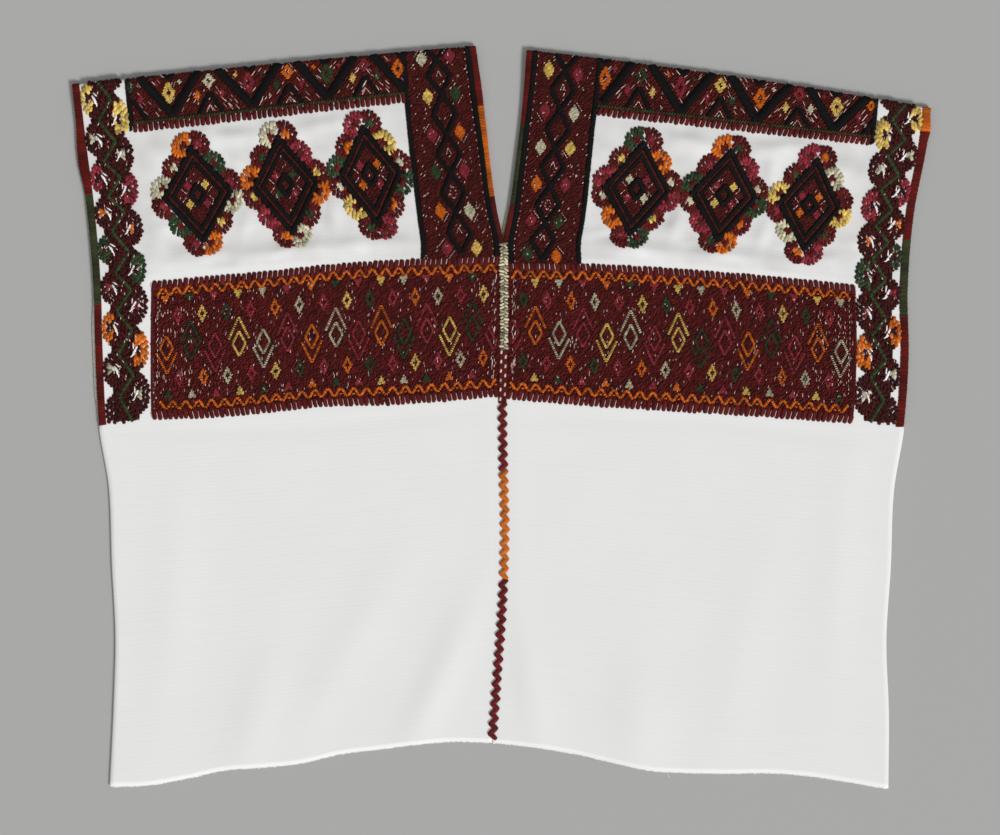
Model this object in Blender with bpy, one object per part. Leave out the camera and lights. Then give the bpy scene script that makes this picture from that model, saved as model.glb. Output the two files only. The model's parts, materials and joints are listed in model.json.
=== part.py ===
"""A handwoven blouse made of two loom lengths, lying flat on its back layer.

Each length is folded over the shoulder, so it is both the front and the back of its half. The two are
joined down the middle below the neck slit, and each is sewn to itself at the side below the armhole.
+X is to the right, +Y is towards the shoulders and +Z is up. The underside lies at zero.
"""

import math
from collections import namedtuple

import bmesh
import bpy
from mathutils import Vector
from mathutils.geometry import delaunay_2d_cdt

# Sizes are in millimetres, and become metres when a vertex is made.
MM = 0.001

# The cloth: its loom width, its length from the shoulder to the hem, and its thickness.
CLOTH_WIDTH = 388.0
CLOTH_DROP = 672.0
CLOTH_THICK = 1.2
LAYER_GAP = 0.8

# The shoulder fold: the radius of its outer face, and how far its fullness reaches down the front.
FOLD_RADIUS = 2.5
FOLD_REACH = 30.0
FOLD_STEPS = 6
FOLD_HALF = math.pi / 2 * (FOLD_RADIUS - CLOTH_THICK / 2)

# The embroidery: how far it stands above the cloth, and how wide its sloping rim is.
STITCH_HEIGHT = 0.9
STITCH_RIM = 0.8

# Distances down the cloth from the shoulder, and across it from the neck edge.
NECK_DEPTH = 182.0
SHOULDER_BAND_DROP = 49.0
SHOULDER_BAND_END = 337.0
CHEST_BAND_TOP = 200.0
CHEST_BAND_FOOT = 333.0
CHEST_BAND_START = 5.0
CHEST_BAND_END = 331.0
ARMHOLE_DEPTH = 333.0

# The scalloped band beside the armhole.
SLEEVE_BAND_WIDTH = 47.0
SCALLOP_DEPTH = 6.5
SCALLOP_PITCH = 38.5
SCALLOP_POINTS = 5

# The diamond medallions on the white ground, and the ring of flowers round each.
DIAMOND_HALF_WIDTH = 33.0
DIAMOND_HALF_HEIGHT = 50.5
FLOWER_RADIUS = 8.5
FLOWER_RING_SCALE = 1.3
FLOWER_SHARES = (0.19, 0.50, 0.81)
MEDALLION_POINTS = 60

# The seams: the gap between cloths, and the threads that join them.
SEAM_GAP = 0.3
SIDE_SEAM_BULGE = 1.2
BACK_SEAM_INSET = 2.6
JOIN_WIDTH = 4.9
JOIN_THICK = 1.4
JOIN_SWING = 2.4
JOIN_PITCH = 9.2
CREAM_JOIN_WIDTH = 8.4
CREAM_JOIN_THICK = 1.2
STRIP_STEP = 12.0

# The mesh: the longest step between points, and the clear space round an outline.
POINT_STEP = 30.0
POINT_CLEAR = 7.0
FAR = 20.0

# Places in the plan, at a distance down from the shoulder fold.
Edge = namedtuple("Edge", "down x y")
SEAM_LINE = (
    Edge(182, 1.9, 167.5),
    Edge(200, 2.2, 149.3),
    Edge(264, 2.4, 84.0),
    Edge(333, 1.0, 17.8),
    Edge(393, 1.6, -40.8),
    Edge(463, 3.2, -108.5),
    Edge(532, 1.0, -175.5),
    Edge(602, -3.8, -243.4),
    Edge(672, -9.1, -311.5),
)
LEFT_NECK = (
    Edge(0, -25.4, 355.7),
    Edge(49, -22.1, 310.6),
    Edge(118, -11.0, 237.6),
    Edge(155, -3.8, 194.4),
)
RIGHT_NECK = (
    Edge(0, 24.5, 351.8),
    Edge(49, 20.2, 296.2),
    Edge(118, 12.0, 228.0),
    Edge(155, 6.7, 191.5),
)
LEFT_SIDE = (
    Edge(0, -411.4, 319.2),
    Edge(49, -405.6, 267.4),
    Edge(118, -397.4, 202.1),
    Edge(200, -391.2, 127.2),
    Edge(264, -389.3, 62.9),
    Edge(333, -385.4, -8.2),
    Edge(393, -375.8, -67.7),
    Edge(463, -373.0, -139.5),
    Edge(532, -369.6, -210.2),
    Edge(602, -371.5, -282.0),
    Edge(672, -374.9, -353.8),
)
RIGHT_SIDE = (
    Edge(0, 411.4, 296.2),
    Edge(49, 406.6, 254.9),
    Edge(118, 395.0, 193.9),
    Edge(200, 389.3, 121.4),
    Edge(264, 390.2, 59.0),
    Edge(333, 385.4, -9.1),
    Edge(393, 375.4, -70.6),
    Edge(463, 372.5, -142.0),
    Edge(532, 368.2, -212.5),
    Edge(602, 370.6, -284.2),
    Edge(672, 370.1, -355.7),
)

# How far the middle of each weft line bows up towards the shoulder.
Bow = namedtuple("Bow", "down left right")
BOWS = (
    Bow(0, 1.0, 3.3),
    Bow(49, 0.0, 0.0),
    Bow(118, 3.0, 3.0),
    Bow(200, 6.0, 6.0),
    Bow(264, 3.0, 3.0),
    Bow(333, 0.0, 0.0),
    Bow(672, 0.0, 0.0),
)

# How far the hem rises above its straight line, at a share of the way from the middle to the side.
Hem = namedtuple("Hem", "share left right")
HEM_WAVES = (
    Hem(0.00, 0.0, 0.0),
    Hem(0.10, 5.3, 0.4),
    Hem(0.20, 6.7, -1.2),
    Hem(0.30, 6.3, -5.4),
    Hem(0.40, 5.8, -9.0),
    Hem(0.50, 1.5, -6.8),
    Hem(0.60, 1.8, -3.0),
    Hem(0.70, 3.3, 1.8),
    Hem(0.80, -0.5, 3.4),
    Hem(0.90, -2.6, 2.0),
    Hem(1.00, 0.0, 0.0),
)
HEM_WAVE_REACH = 110.0

# Soft folds in the front layer: where each lies, how it runs, and how high it stands.
Fold = namedtuple("Fold", "across down length width turn height")
LEFT_FOLDS = (
    Fold(240, 186, 62, 11, -4, 1.5),
    Fold(155, 184, 40, 10, 6, 1.0),
    Fold(322, 150, 50, 12, 70, 1.2),
    Fold(240, 66, 70, 12, 0, 0.9),
    Fold(60, 610, 85, 20, 70, 2.2),
    Fold(150, 560, 95, 26, 62, 1.3),
    Fold(245, 628, 70, 24, 80, 1.8),
    Fold(330, 500, 110, 22, 84, 1.2),
)
RIGHT_FOLDS = (
    Fold(150, 186, 45, 10, 4, 1.1),
    Fold(245, 188, 55, 11, -2, 1.4),
    Fold(325, 140, 60, 12, 78, 1.3),
    Fold(200, 68, 80, 12, 0, 0.9),
    Fold(35, 620, 75, 18, 74, 2.0),
    Fold(140, 632, 60, 24, 84, 1.9),
    Fold(240, 560, 100, 26, 100, 1.2),
    Fold(335, 470, 120, 20, 92, 1.1),
)

# What differs between the two halves. peek is how far the back layer shows past the armhole's edge.
Half = namedtuple("Half", "name side neck outer folds neck_band medallions medallion_drop peek")
LEFT = Half("left_panel", -1, LEFT_NECK, LEFT_SIDE, LEFT_FOLDS, (66.0, 76.0), (114.5, 197.0, 281.5), 117.5, 2.6)
RIGHT = Half("right_panel", 1, RIGHT_NECK, RIGHT_SIDE, RIGHT_FOLDS, (68.5, 72.0), (118.5, 204.0, 287.0), 119.0, 0.0)
PEEK_FROM = 205.0
PEEK_TO = 330.0

# Stretches of the joining thread down the front seam.
Thread = namedtuple("Thread", "name start end colour")
THREADS = (
    Thread("join_red_upper", 284.5, 402.0, (0.085, 0.012, 0.016)),
    Thread("join_orange", 405.0, 510.0, (0.62, 0.22, 0.03)),
    Thread("join_red_lower", 513.0, 668.0, (0.085, 0.012, 0.016)),
)
CREAM_START = 184.5
CREAM_END = 283.0
BACK_SEAM_START = NECK_DEPTH + 2
BACK_SEAM_END = CLOTH_DROP - 1
COTTON_WHITE = (0.84, 0.83, 0.80)
CREAM = (0.45, 0.43, 0.32)


def clear_scene():
    for item in list(bpy.data.objects):
        bpy.data.objects.remove(item)


def matte(name, colour):
    """A cloth or thread finish of one colour."""
    finish = bpy.data.materials.new(name)
    finish.use_nodes = True
    shader = finish.node_tree.nodes["Principled BSDF"]
    shader.inputs["Base Color"].default_value = (*colour, 1.0)
    shader.inputs["Roughness"].default_value = 0.9
    shader.inputs["Metallic"].default_value = 0.0
    return finish


def smooth(rows, column, at):
    """One column's value on a smooth curve through the rows, whose first column is the distance."""
    where = [row[0] for row in rows]
    value = [getattr(row, column) for row in rows]
    at = min(max(at, where[0]), where[-1])
    k = max(i for i in range(len(rows) - 1) if where[i] <= at)

    def slope(i):
        low, high = max(i - 1, 0), min(i + 1, len(rows) - 1)
        return (value[high] - value[low]) / (where[high] - where[low])

    span = where[k + 1] - where[k]
    u = (at - where[k]) / span
    return (
        value[k] * (1 + 2 * u) * (1 - u) ** 2
        + value[k + 1] * u * u * (3 - 2 * u)
        + span * (slope(k) * u * (1 - u) ** 2 - slope(k + 1) * u * u * (1 - u))
    )


def ramp(value, low, high):
    """0 below low and 1 above high, with a soft change between."""
    u = min(max((value - low) / (high - low), 0.0), 1.0)
    return u * u * (3 - 2 * u)


def plan(half, across, down, is_back):
    """The place of a point of the cloth, seen from above."""
    share = across / CLOTH_WIDTH
    name = "left" if half.side < 0 else "right"
    inner = half.neck + SEAM_LINE
    inner_x = smooth(inner, "x", down)
    inner_y = smooth(inner, "y", down)
    outer_x = smooth(half.outer, "x", down)
    outer_y = smooth(half.outer, "y", down)
    sewn = ramp(down, NECK_DEPTH - 6, NECK_DEPTH)
    inner_x += half.side * sewn * SEAM_GAP / 2
    if is_back:
        inner_x += half.side * sewn * BACK_SEAM_INSET
        peek = ramp(down, PEEK_FROM, PEEK_FROM + 30) * (1 - ramp(down, PEEK_TO - 30, PEEK_TO))
        outer_x += half.side * half.peek * peek
    bow = smooth(BOWS, name, down) * 4 * share * (1 - share)
    bow += smooth(HEM_WAVES, name, share) * ramp(down, CLOTH_DROP - HEM_WAVE_REACH, CLOTH_DROP)
    return inner_x + (outer_x - inner_x) * share, inner_y + (outer_y - inner_y) * share + bow


def swell(half, across, down):
    """How far the soft folds lift the front layer."""
    total = 0.0
    for fold in half.folds:
        turn = math.radians(fold.turn)
        along = (across - fold.across) * math.cos(turn) + (down - fold.down) * math.sin(turn)
        beside = (down - fold.down) * math.cos(turn) - (across - fold.across) * math.sin(turn)
        total += fold.height * math.exp(-((along / fold.length) ** 2) - (beside / fold.width) ** 2)
    return total * ramp(across, 0, 30) * ramp(CLOTH_WIDTH - across, 0, 30)


def layer_gap(half, across, down):
    """The space between the front layer and the back one."""
    fullness = 2 * (FOLD_RADIUS - CLOTH_THICK) - LAYER_GAP
    near_fold = fullness * math.exp(-(((down - FOLD_RADIUS) / FOLD_REACH) ** 2))
    return LAYER_GAP + near_fold + swell(half, across, down)


def flower_centres():
    """The flowers of one medallion, from its centre, clockwise from the top."""
    corners = (
        (0.0, -DIAMOND_HALF_HEIGHT),
        (DIAMOND_HALF_WIDTH, 0.0),
        (0.0, DIAMOND_HALF_HEIGHT),
        (-DIAMOND_HALF_WIDTH, 0.0),
    )
    centres = []
    for k in range(len(corners)):
        (x0, y0), (x1, y1) = corners[k], corners[(k + 1) % len(corners)]
        for share in FLOWER_SHARES:
            centre = Vector((x0 + (x1 - x0) * share, y0 + (y1 - y0) * share))
            centres.append(centre * FLOWER_RING_SCALE)
    return centres


def medallion_outline(centre_across, centre_down):
    """A diamond with a ring of round flowers, as far out as either reaches in each direction."""
    flowers = flower_centres()
    outline = []
    for k in range(MEDALLION_POINTS):
        angle = 2 * math.pi * k / MEDALLION_POINTS
        way = Vector((math.sin(angle), -math.cos(angle)))
        reach = 1 / (abs(way.x) / DIAMOND_HALF_WIDTH + abs(way.y) / DIAMOND_HALF_HEIGHT)
        for flower in flowers:
            along = way.dot(flower)
            room = FLOWER_RADIUS**2 - flower.length_squared + along * along
            if room > 0:
                reach = max(reach, along + math.sqrt(room))
        outline.append((centre_across + way.x * reach, centre_down + way.y * reach))
    return outline


def bands_outline(half):
    """The neck, shoulder and chest bands, which run into each other. It passes over the shoulder fold."""
    top, foot = half.neck_band
    return [
        (-FAR, -FAR),
        (-FAR, NECK_DEPTH),
        (CHEST_BAND_START, NECK_DEPTH),
        (CHEST_BAND_START, CHEST_BAND_FOOT),
        (CHEST_BAND_END, CHEST_BAND_FOOT),
        (CHEST_BAND_END, CHEST_BAND_TOP),
        (foot, CHEST_BAND_TOP),
        (top, SHOULDER_BAND_DROP),
        (SHOULDER_BAND_END, SHOULDER_BAND_DROP),
        (SHOULDER_BAND_END, -FAR),
    ]


def sleeve_outline():
    """The band beside the armhole, with a scallop for each flower."""
    root = CLOTH_WIDTH - SLEEVE_BAND_WIDTH
    outline = [(CLOTH_WIDTH + FAR, -FAR), (CLOTH_WIDTH + FAR, ARMHOLE_DEPTH), (root, ARMHOLE_DEPTH)]
    scallops = int(ARMHOLE_DEPTH / SCALLOP_PITCH)
    for k in reversed(range(scallops)):
        for j in reversed(range(SCALLOP_POINTS)):
            u = (j + 0.5) / SCALLOP_POINTS
            bulge = math.sqrt(1 - (2 * u - 1) ** 2)
            outline.append((root - SCALLOP_DEPTH * bulge, (k + u) * SCALLOP_PITCH + FOLD_RADIUS))
    outline.append((root, -FAR))
    return outline


def inside(outline, across, down):
    found = False
    for (x0, y0), (x1, y1) in zip(outline, outline[1:] + outline[:1]):
        if (y0 > down) != (y1 > down) and across < x0 + (down - y0) * (x1 - x0) / (y1 - y0):
            found = not found
    return found


def edge_distance(outline, across, down):
    point = Vector((across, down))
    nearest = math.inf
    for start, end in zip(outline, outline[1:] + outline[:1]):
        start, side = Vector(start), Vector(end) - Vector(start)
        share = min(max((point - start).dot(side) / side.length_squared, 0.0), 1.0)
        nearest = min(nearest, (point - start - side * share).length)
    return nearest


def inset(outline, distance):
    """The outline moved in by a distance, corner by corner."""
    turned = sum(
        x0 * y1 - x1 * y0 for (x0, y0), (x1, y1) in zip(outline, outline[1:] + outline[:1])
    )
    way = 1 if turned > 0 else -1
    moved = []
    for k, corner in enumerate(outline):
        before = (Vector(corner) - Vector(outline[k - 1])).normalized()
        after = (Vector(outline[(k + 1) % len(outline)]) - Vector(corner)).normalized()
        normals = [Vector((-side.y, side.x)) * way for side in (before, after)]
        middle = (normals[0] + normals[1]).normalized()
        moved.append(tuple(Vector(corner) + middle * distance / max(middle.dot(normals[0]), 0.4)))
    return moved


def filled(values, step):
    """Sorted values with even ones added, so that no two neighbours are further apart than the step."""
    values = sorted(set(values))
    full = [values[0]]
    for low, high in zip(values, values[1:]):
        count = max(1, math.ceil((high - low) / step))
        full += [low + (high - low) * k / count for k in range(1, count + 1)]
    return full


def clipped(start, end):
    """The part of a line that lies on the front layer, or None."""
    low, high = 0.0, 1.0
    limits = ((0, 0.0, CLOTH_WIDTH), (1, FOLD_HALF, CLOTH_DROP))
    for axis, least, most in limits:
        run = end[axis] - start[axis]
        if abs(run) < 1e-9:
            if not least <= start[axis] <= most:
                return None
            continue
        ends = sorted(((least - start[axis]) / run, (most - start[axis]) / run))
        low, high = max(low, ends[0]), min(high, ends[1])
    if high - low < 1e-9:
        return None
    return tuple(tuple(start[i] + (end[i] - start[i]) * u for i in (0, 1)) for u in (low, high))


def outline_lines(outlines):
    """The foot and the crest of each outline, as short lines on the front layer."""
    lines = []
    for outline in outlines:
        for ring in (outline, inset(outline, STITCH_RIM)):
            for start, end in zip(ring, ring[1:] + ring[:1]):
                line = clipped(start, end)
                if line is None:
                    continue
                length = math.dist(*line)
                count = max(1, math.ceil(length / POINT_STEP))
                stops = [
                    tuple(line[0][i] + (line[1][i] - line[0][i]) * k / count for i in (0, 1))
                    for k in range(count + 1)
                ]
                lines += zip(stops, stops[1:])
    return lines


class ClothWall:
    """A folded length of cloth: every point of the flat cut has a vertex on each face of the wall."""

    def __init__(self, half):
        self.half = half
        self.outlines = [bands_outline(half), sleeve_outline()]
        self.outlines += [medallion_outline(across, half.medallion_drop) for across in half.medallions]
        self.mesh = bmesh.new()
        self.pairs = {}

    def raised(self, across, down):
        """How far the embroidery stands above the cloth."""
        share = 0.0
        for outline in self.outlines:
            if inside(outline, across, down):
                share = max(share, min(1.0, edge_distance(outline, across, down) / STITCH_RIM))
        return STITCH_HEIGHT * share

    def point(self, across, along, is_outer):
        """along is the distance round the cloth: above zero on the front, below it on the back."""
        half = self.half
        if abs(along) <= FOLD_HALF + 1e-6:
            angle = along / FOLD_HALF * math.pi / 2
            radius = FOLD_RADIUS - (0 if is_outer else CLOTH_THICK)
            if is_outer:
                radius += self.raised(across, FOLD_RADIUS) * max(0.0, math.sin(angle))
            down = FOLD_RADIUS - radius * math.cos(angle)
            height = FOLD_RADIUS + radius * math.sin(angle)
        else:
            down = abs(along) - FOLD_HALF + FOLD_RADIUS
            down *= CLOTH_DROP / (CLOTH_DROP - FOLD_HALF + FOLD_RADIUS)
            if along < 0:
                height = 0.0 if is_outer else CLOTH_THICK
            else:
                height = CLOTH_THICK + layer_gap(half, across, down)
                height += (CLOTH_THICK + self.raised(across, along)) if is_outer else 0.0
        x, y = plan(half, across, down, along < 0)
        return Vector((x, y, height)) * MM

    def side_seam_point(self, along, is_outer):
        """Where the front and back selvedges meet at the side."""
        front = self.point(CLOTH_WIDTH, along, is_outer)
        back = self.point(CLOTH_WIDTH, -along, is_outer)
        out = SIDE_SEAM_BULGE * MM if is_outer else 0.0
        return (front + back) / 2 + Vector((self.half.side * out, 0, 0))

    def pair(self, across, along):
        """The outer and the inner vertex of one point. The across of a side seam point is None."""
        key = (None if across is None else round(across, 3), round(along, 3))
        if key not in self.pairs:
            if across is None:
                places = [self.side_seam_point(along, is_outer) for is_outer in (True, False)]
            else:
                places = [self.point(across, along, is_outer) for is_outer in (True, False)]
            self.pairs[key] = [self.mesh.verts.new(place) for place in places]
        return self.pairs[key]

    def face(self, *points):
        """One face of the cloth, on both sides of the wall."""
        found = [self.pair(*point) for point in points]
        self.mesh.faces.new([outer for outer, _ in found])
        self.mesh.faces.new([inner for _, inner in reversed(found)])

    def grid(self, columns, rows):
        for left, right in zip(columns, columns[1:]):
            for low, high in zip(rows, rows[1:]):
                self.face((left, low), (right, low), (right, high), (left, high))

    def front(self, columns, rows, lines):
        """The front layer, cut along the outlines of the embroidery."""
        points, edges = [], []
        index = {}

        def number(point):
            key = (round(point[0], 3), round(point[1], 3))
            if key not in index:
                index[key] = len(points)
                points.append(Vector(point))
            return index[key]

        hem = filled((0.0, CLOTH_WIDTH), POINT_STEP)
        on_neck = [p[1] for line in lines for p in line if abs(p[0]) < 1e-6]
        neck_edge = filled([FOLD_HALF, CLOTH_DROP, *on_neck], POINT_STEP)
        border = [(across, FOLD_HALF) for across in columns]
        border += [(CLOTH_WIDTH, along) for along in rows[1:]]
        border += [(across, CLOTH_DROP) for across in hem[-2::-1]]
        border += [(0.0, along) for along in neck_edge[-2:0:-1]]
        for start, end in [*zip(border, border[1:] + border[:1]), *lines]:
            edges.append((number(start), number(end)))
        spots = [Vector(point) for point in points]
        for across in hem[1:-1]:
            for along in filled((FOLD_HALF, CLOTH_DROP), POINT_STEP)[1:-1]:
                spot = Vector((across, along))
                if min((spot - other).length for other in spots) > POINT_CLEAR:
                    number(spot)
        spread, _, faces, *_ = delaunay_2d_cdt(points, edges, [], 0, 1e-5)
        for face in faces:
            self.face(*[tuple(spread[k]) for k in face])

    def close(self):
        """The cut edges of the cloth, round the hem, the neck slit and the armhole."""
        twin = {outer: inner for outer, inner in self.pairs.values()}
        rim = [edge for edge in self.mesh.edges if edge.is_boundary and edge.verts[0] in twin]
        for edge in rim:
            one, other = edge.verts
            self.mesh.faces.new((one, other, twin[other], twin[one]))
        bmesh.ops.recalc_face_normals(self.mesh, faces=self.mesh.faces)

    def build(self):
        lines = outline_lines(self.outlines)
        on_fold = [p[0] for line in lines for p in line if abs(p[1] - FOLD_HALF) < 1e-6]
        on_side = [p[1] for line in lines for p in line if abs(p[0] - CLOTH_WIDTH) < 1e-6]
        columns = filled([0.0, CLOTH_WIDTH, *on_fold], POINT_STEP)
        rows = filled([FOLD_HALF, CLOTH_DROP, *on_side], POINT_STEP)
        round_fold = [FOLD_HALF * (2 * k / FOLD_STEPS - 1) for k in range(FOLD_STEPS + 1)]
        self.front(columns, rows, lines)
        self.grid(columns, round_fold)
        self.grid(columns, [-along for along in reversed(rows)])
        sewn = [along for along in rows if along >= ARMHOLE_DEPTH - 1e-6]
        for low, high in zip(sewn, sewn[1:]):
            self.face((CLOTH_WIDTH, low), (CLOTH_WIDTH, high), (None, high), (None, low))
            self.face((None, low), (None, high), (CLOTH_WIDTH, -high), (CLOTH_WIDTH, -low))
        self.close()
        return self.mesh


def add_object(name, data, finish, collection):
    data.materials.append(finish)
    item = bpy.data.objects.new(name, data)
    collection.objects.link(item)
    return item


def add_panel(half, finish, collection):
    """One loom length: its front layer, its shoulder fold and its back layer."""
    mesh = bpy.data.meshes.new(half.name)
    made = ClothWall(half).build()
    made.to_mesh(mesh)
    made.free()
    add_object(half.name, mesh, finish, collection)


def seam_place(down):
    """A point on the front's middle seam, level with the cloth's outer face."""
    height = 2 * CLOTH_THICK + layer_gap(LEFT, 0.0, down)
    return Vector((smooth(SEAM_LINE, "x", down), smooth(SEAM_LINE, "y", down), height))


def zigzag_places(thread):
    """Where a thread turns back, on one side of the middle seam and then on the other."""
    turns = round((thread.end - thread.start) / (JOIN_PITCH / 2))
    places = []
    for k in range(turns + 1):
        place = seam_place(thread.start + (thread.end - thread.start) * k / turns)
        place.x += JOIN_SWING * (1 if k % 2 else -1)
        places.append(place)
    return places


def add_ribbon(name, places, width, low, thick, finish, collection):
    """A flat thread along the middle seam. low gives the height of its lower face at each place."""
    mesh = bpy.data.meshes.new(name)
    ribbon = bmesh.new()
    rings = []
    for place in places:
        base = low(place)
        corners = ((-1, base), (1, base), (1, base + thick), (-1, base + thick))
        rings.append(
            [ribbon.verts.new(Vector((place.x + side * width / 2, place.y, z)) * MM) for side, z in corners]
        )
    for one, other in zip(rings, rings[1:]):
        for k in range(4):
            ribbon.faces.new((one[k], one[(k + 1) % 4], other[(k + 1) % 4], other[k]))
    for end_ring in (rings[0], rings[-1]):
        ribbon.faces.new(end_ring)
    bmesh.ops.recalc_face_normals(ribbon, faces=ribbon.faces)
    ribbon.to_mesh(mesh)
    ribbon.free()
    add_object(name, mesh, finish, collection)


def above_cloth(place):
    return place.z + SEAM_GAP


def on_floor(place):
    return 0.0


def main():
    clear_scene()
    collection = bpy.data.collections.new("huipil_blouse")
    bpy.context.scene.collection.children.link(collection)
    cotton = matte("white_cotton", COTTON_WHITE)
    cream = matte("cream_thread", CREAM)
    for half in (LEFT, RIGHT):
        add_panel(half, cotton, collection)
    places = [seam_place(down) for down in filled((CREAM_START, CREAM_END), STRIP_STEP)]
    add_ribbon("join_cream", places, CREAM_JOIN_WIDTH, above_cloth, CREAM_JOIN_THICK, cream, collection)
    for thread in THREADS:
        finish = matte(thread.name, thread.colour)
        add_ribbon(thread.name, zigzag_places(thread), JOIN_WIDTH, above_cloth, JOIN_THICK, finish, collection)
    places = [seam_place(down) for down in filled((BACK_SEAM_START, BACK_SEAM_END), STRIP_STEP)]
    width = 2 * (BACK_SEAM_INSET - SEAM_GAP / 2)
    add_ribbon("join_back", places, width, on_floor, CLOTH_THICK, cream, collection)


main()
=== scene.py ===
"""A handwoven blouse of two loom lengths, lying flat on its back, its embroidery laid stitch by stitch."""

import json
import math
from collections import namedtuple

import bpy
import numpy as np
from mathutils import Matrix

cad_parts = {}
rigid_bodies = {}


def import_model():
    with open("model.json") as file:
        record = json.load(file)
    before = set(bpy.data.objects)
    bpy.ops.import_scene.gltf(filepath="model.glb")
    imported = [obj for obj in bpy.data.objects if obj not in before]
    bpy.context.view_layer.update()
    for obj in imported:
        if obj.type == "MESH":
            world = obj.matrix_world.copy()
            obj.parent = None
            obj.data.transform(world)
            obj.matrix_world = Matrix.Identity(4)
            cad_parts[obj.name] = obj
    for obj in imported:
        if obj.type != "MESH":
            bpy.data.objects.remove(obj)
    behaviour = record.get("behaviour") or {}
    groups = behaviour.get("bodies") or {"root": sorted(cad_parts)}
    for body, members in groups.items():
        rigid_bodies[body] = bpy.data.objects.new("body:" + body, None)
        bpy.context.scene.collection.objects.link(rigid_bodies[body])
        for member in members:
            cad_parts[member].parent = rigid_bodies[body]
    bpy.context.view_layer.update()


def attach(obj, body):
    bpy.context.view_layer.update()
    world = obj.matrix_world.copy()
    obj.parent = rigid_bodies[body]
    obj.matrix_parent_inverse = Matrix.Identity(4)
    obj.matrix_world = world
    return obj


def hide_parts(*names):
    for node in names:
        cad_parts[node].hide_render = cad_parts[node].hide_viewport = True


for item in list(bpy.data.objects):
    bpy.data.objects.remove(item)
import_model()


# The two loom lengths
# Each half is one length of white cotton from a backstrap loom, folded over the shoulder so that it is
# both front and back. It is a balanced plain weave with fine weft ribs, sewn to itself at the side.
MM = 0.001
CLOTH_WIDTH = 388.0
CLOTH_DROP = 672.0
CLOTH_THICK = 1.2
LAYER_GAP = 0.8
FOLD_RADIUS = 2.5
FOLD_REACH = 30.0
NECK_DEPTH = 182.0
ARMHOLE_DEPTH = 333.0
SEAM_GAP = 0.3
SIDE_SEAM_BULGE = 1.2
BACK_SEAM_INSET = 2.6
PEEK_FROM = 205.0
PEEK_TO = 330.0
HEM_WAVE_REACH = 110.0
SHELL_THICK = 1.1

Edge = namedtuple("Edge", "down x y")
SEAM_LINE = (
    Edge(182, 1.9, 167.5),
    Edge(200, 2.2, 149.3),
    Edge(264, 2.4, 84.0),
    Edge(333, 1.0, 17.8),
    Edge(393, 1.6, -40.8),
    Edge(463, 3.2, -108.5),
    Edge(532, 1.0, -175.5),
    Edge(602, -3.8, -243.4),
    Edge(672, -9.1, -311.5),
)
LEFT_NECK = (
    Edge(0, -25.4, 355.7),
    Edge(49, -22.1, 310.6),
    Edge(118, -11.0, 237.6),
    Edge(155, -3.8, 194.4),
)
RIGHT_NECK = (
    Edge(0, 24.5, 351.8),
    Edge(49, 20.2, 296.2),
    Edge(118, 12.0, 228.0),
    Edge(155, 6.7, 191.5),
)
LEFT_SIDE = (
    Edge(0, -411.4, 319.2),
    Edge(49, -405.6, 267.4),
    Edge(118, -397.4, 202.1),
    Edge(200, -391.2, 127.2),
    Edge(264, -389.3, 62.9),
    Edge(333, -385.4, -8.2),
    Edge(393, -375.8, -67.7),
    Edge(463, -373.0, -139.5),
    Edge(532, -369.6, -210.2),
    Edge(602, -371.5, -282.0),
    Edge(672, -374.9, -353.8),
)
RIGHT_SIDE = (
    Edge(0, 411.4, 296.2),
    Edge(49, 406.6, 254.9),
    Edge(118, 395.0, 193.9),
    Edge(200, 389.3, 121.4),
    Edge(264, 390.2, 59.0),
    Edge(333, 385.4, -9.1),
    Edge(393, 375.4, -70.6),
    Edge(463, 372.5, -142.0),
    Edge(532, 368.2, -212.5),
    Edge(602, 370.6, -284.2),
    Edge(672, 370.1, -355.7),
)
Bow = namedtuple("Bow", "down left right")
BOWS = (
    Bow(0, 1.0, 3.3),
    Bow(49, 0.0, 0.0),
    Bow(118, 3.0, 3.0),
    Bow(200, 6.0, 6.0),
    Bow(264, 3.0, 3.0),
    Bow(333, 0.0, 0.0),
    Bow(672, 0.0, 0.0),
)
Hem = namedtuple("Hem", "share left right")
HEM_WAVES = (
    Hem(0.00, 0.0, 0.0),
    Hem(0.10, 5.3, 0.4),
    Hem(0.20, 6.7, -1.2),
    Hem(0.30, 6.3, -5.4),
    Hem(0.40, 5.8, -9.0),
    Hem(0.50, 1.5, -6.8),
    Hem(0.60, 1.8, -3.0),
    Hem(0.70, 3.3, 1.8),
    Hem(0.80, -0.5, 3.4),
    Hem(0.90, -2.6, 2.0),
    Hem(1.00, 0.0, 0.0),
)

# Soft folds: where each lies on the cloth, how it runs, and how far it stands up or sinks in.
Fold = namedtuple("Fold", "across down length width turn height")
LEFT_FOLDS = (
    Fold(240, 186, 62, 11, -4, 1.5),
    Fold(155, 184, 40, 10, 6, 1.0),
    Fold(322, 150, 50, 12, 70, 1.2),
    Fold(240, 66, 70, 12, 0, 0.9),
    Fold(60, 610, 85, 20, 70, 2.2),
    Fold(150, 560, 95, 26, 62, 1.3),
    Fold(245, 628, 70, 24, 80, 1.8),
    Fold(330, 500, 110, 22, 84, 1.2),
    Fold(284, 179, 24, 6, -8, 0.8),
    Fold(200, 178, 26, 5, 3, 0.7),
    Fold(110, 345, 120, 7, 2, -0.35),
    Fold(270, 344, 90, 7, -3, -0.35),
    Fold(12, 420, 120, 8, 90, 0.5),
    Fold(150, 63, 30, 7, 4, 2.2),
    Fold(238, 64, 26, 7, -6, 2.4),
    Fold(310, 70, 22, 8, -30, 2.0),
    Fold(156, 150, 18, 6, 84, 1.8),
    Fold(240, 88, 18, 6, 100, 2.0),
    Fold(240, 152, 16, 6, 76, 1.8),
    Fold(197, 184, 34, 7, 2, 2.4),
    Fold(108, 180, 30, 7, -5, 2.4),
)
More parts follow.
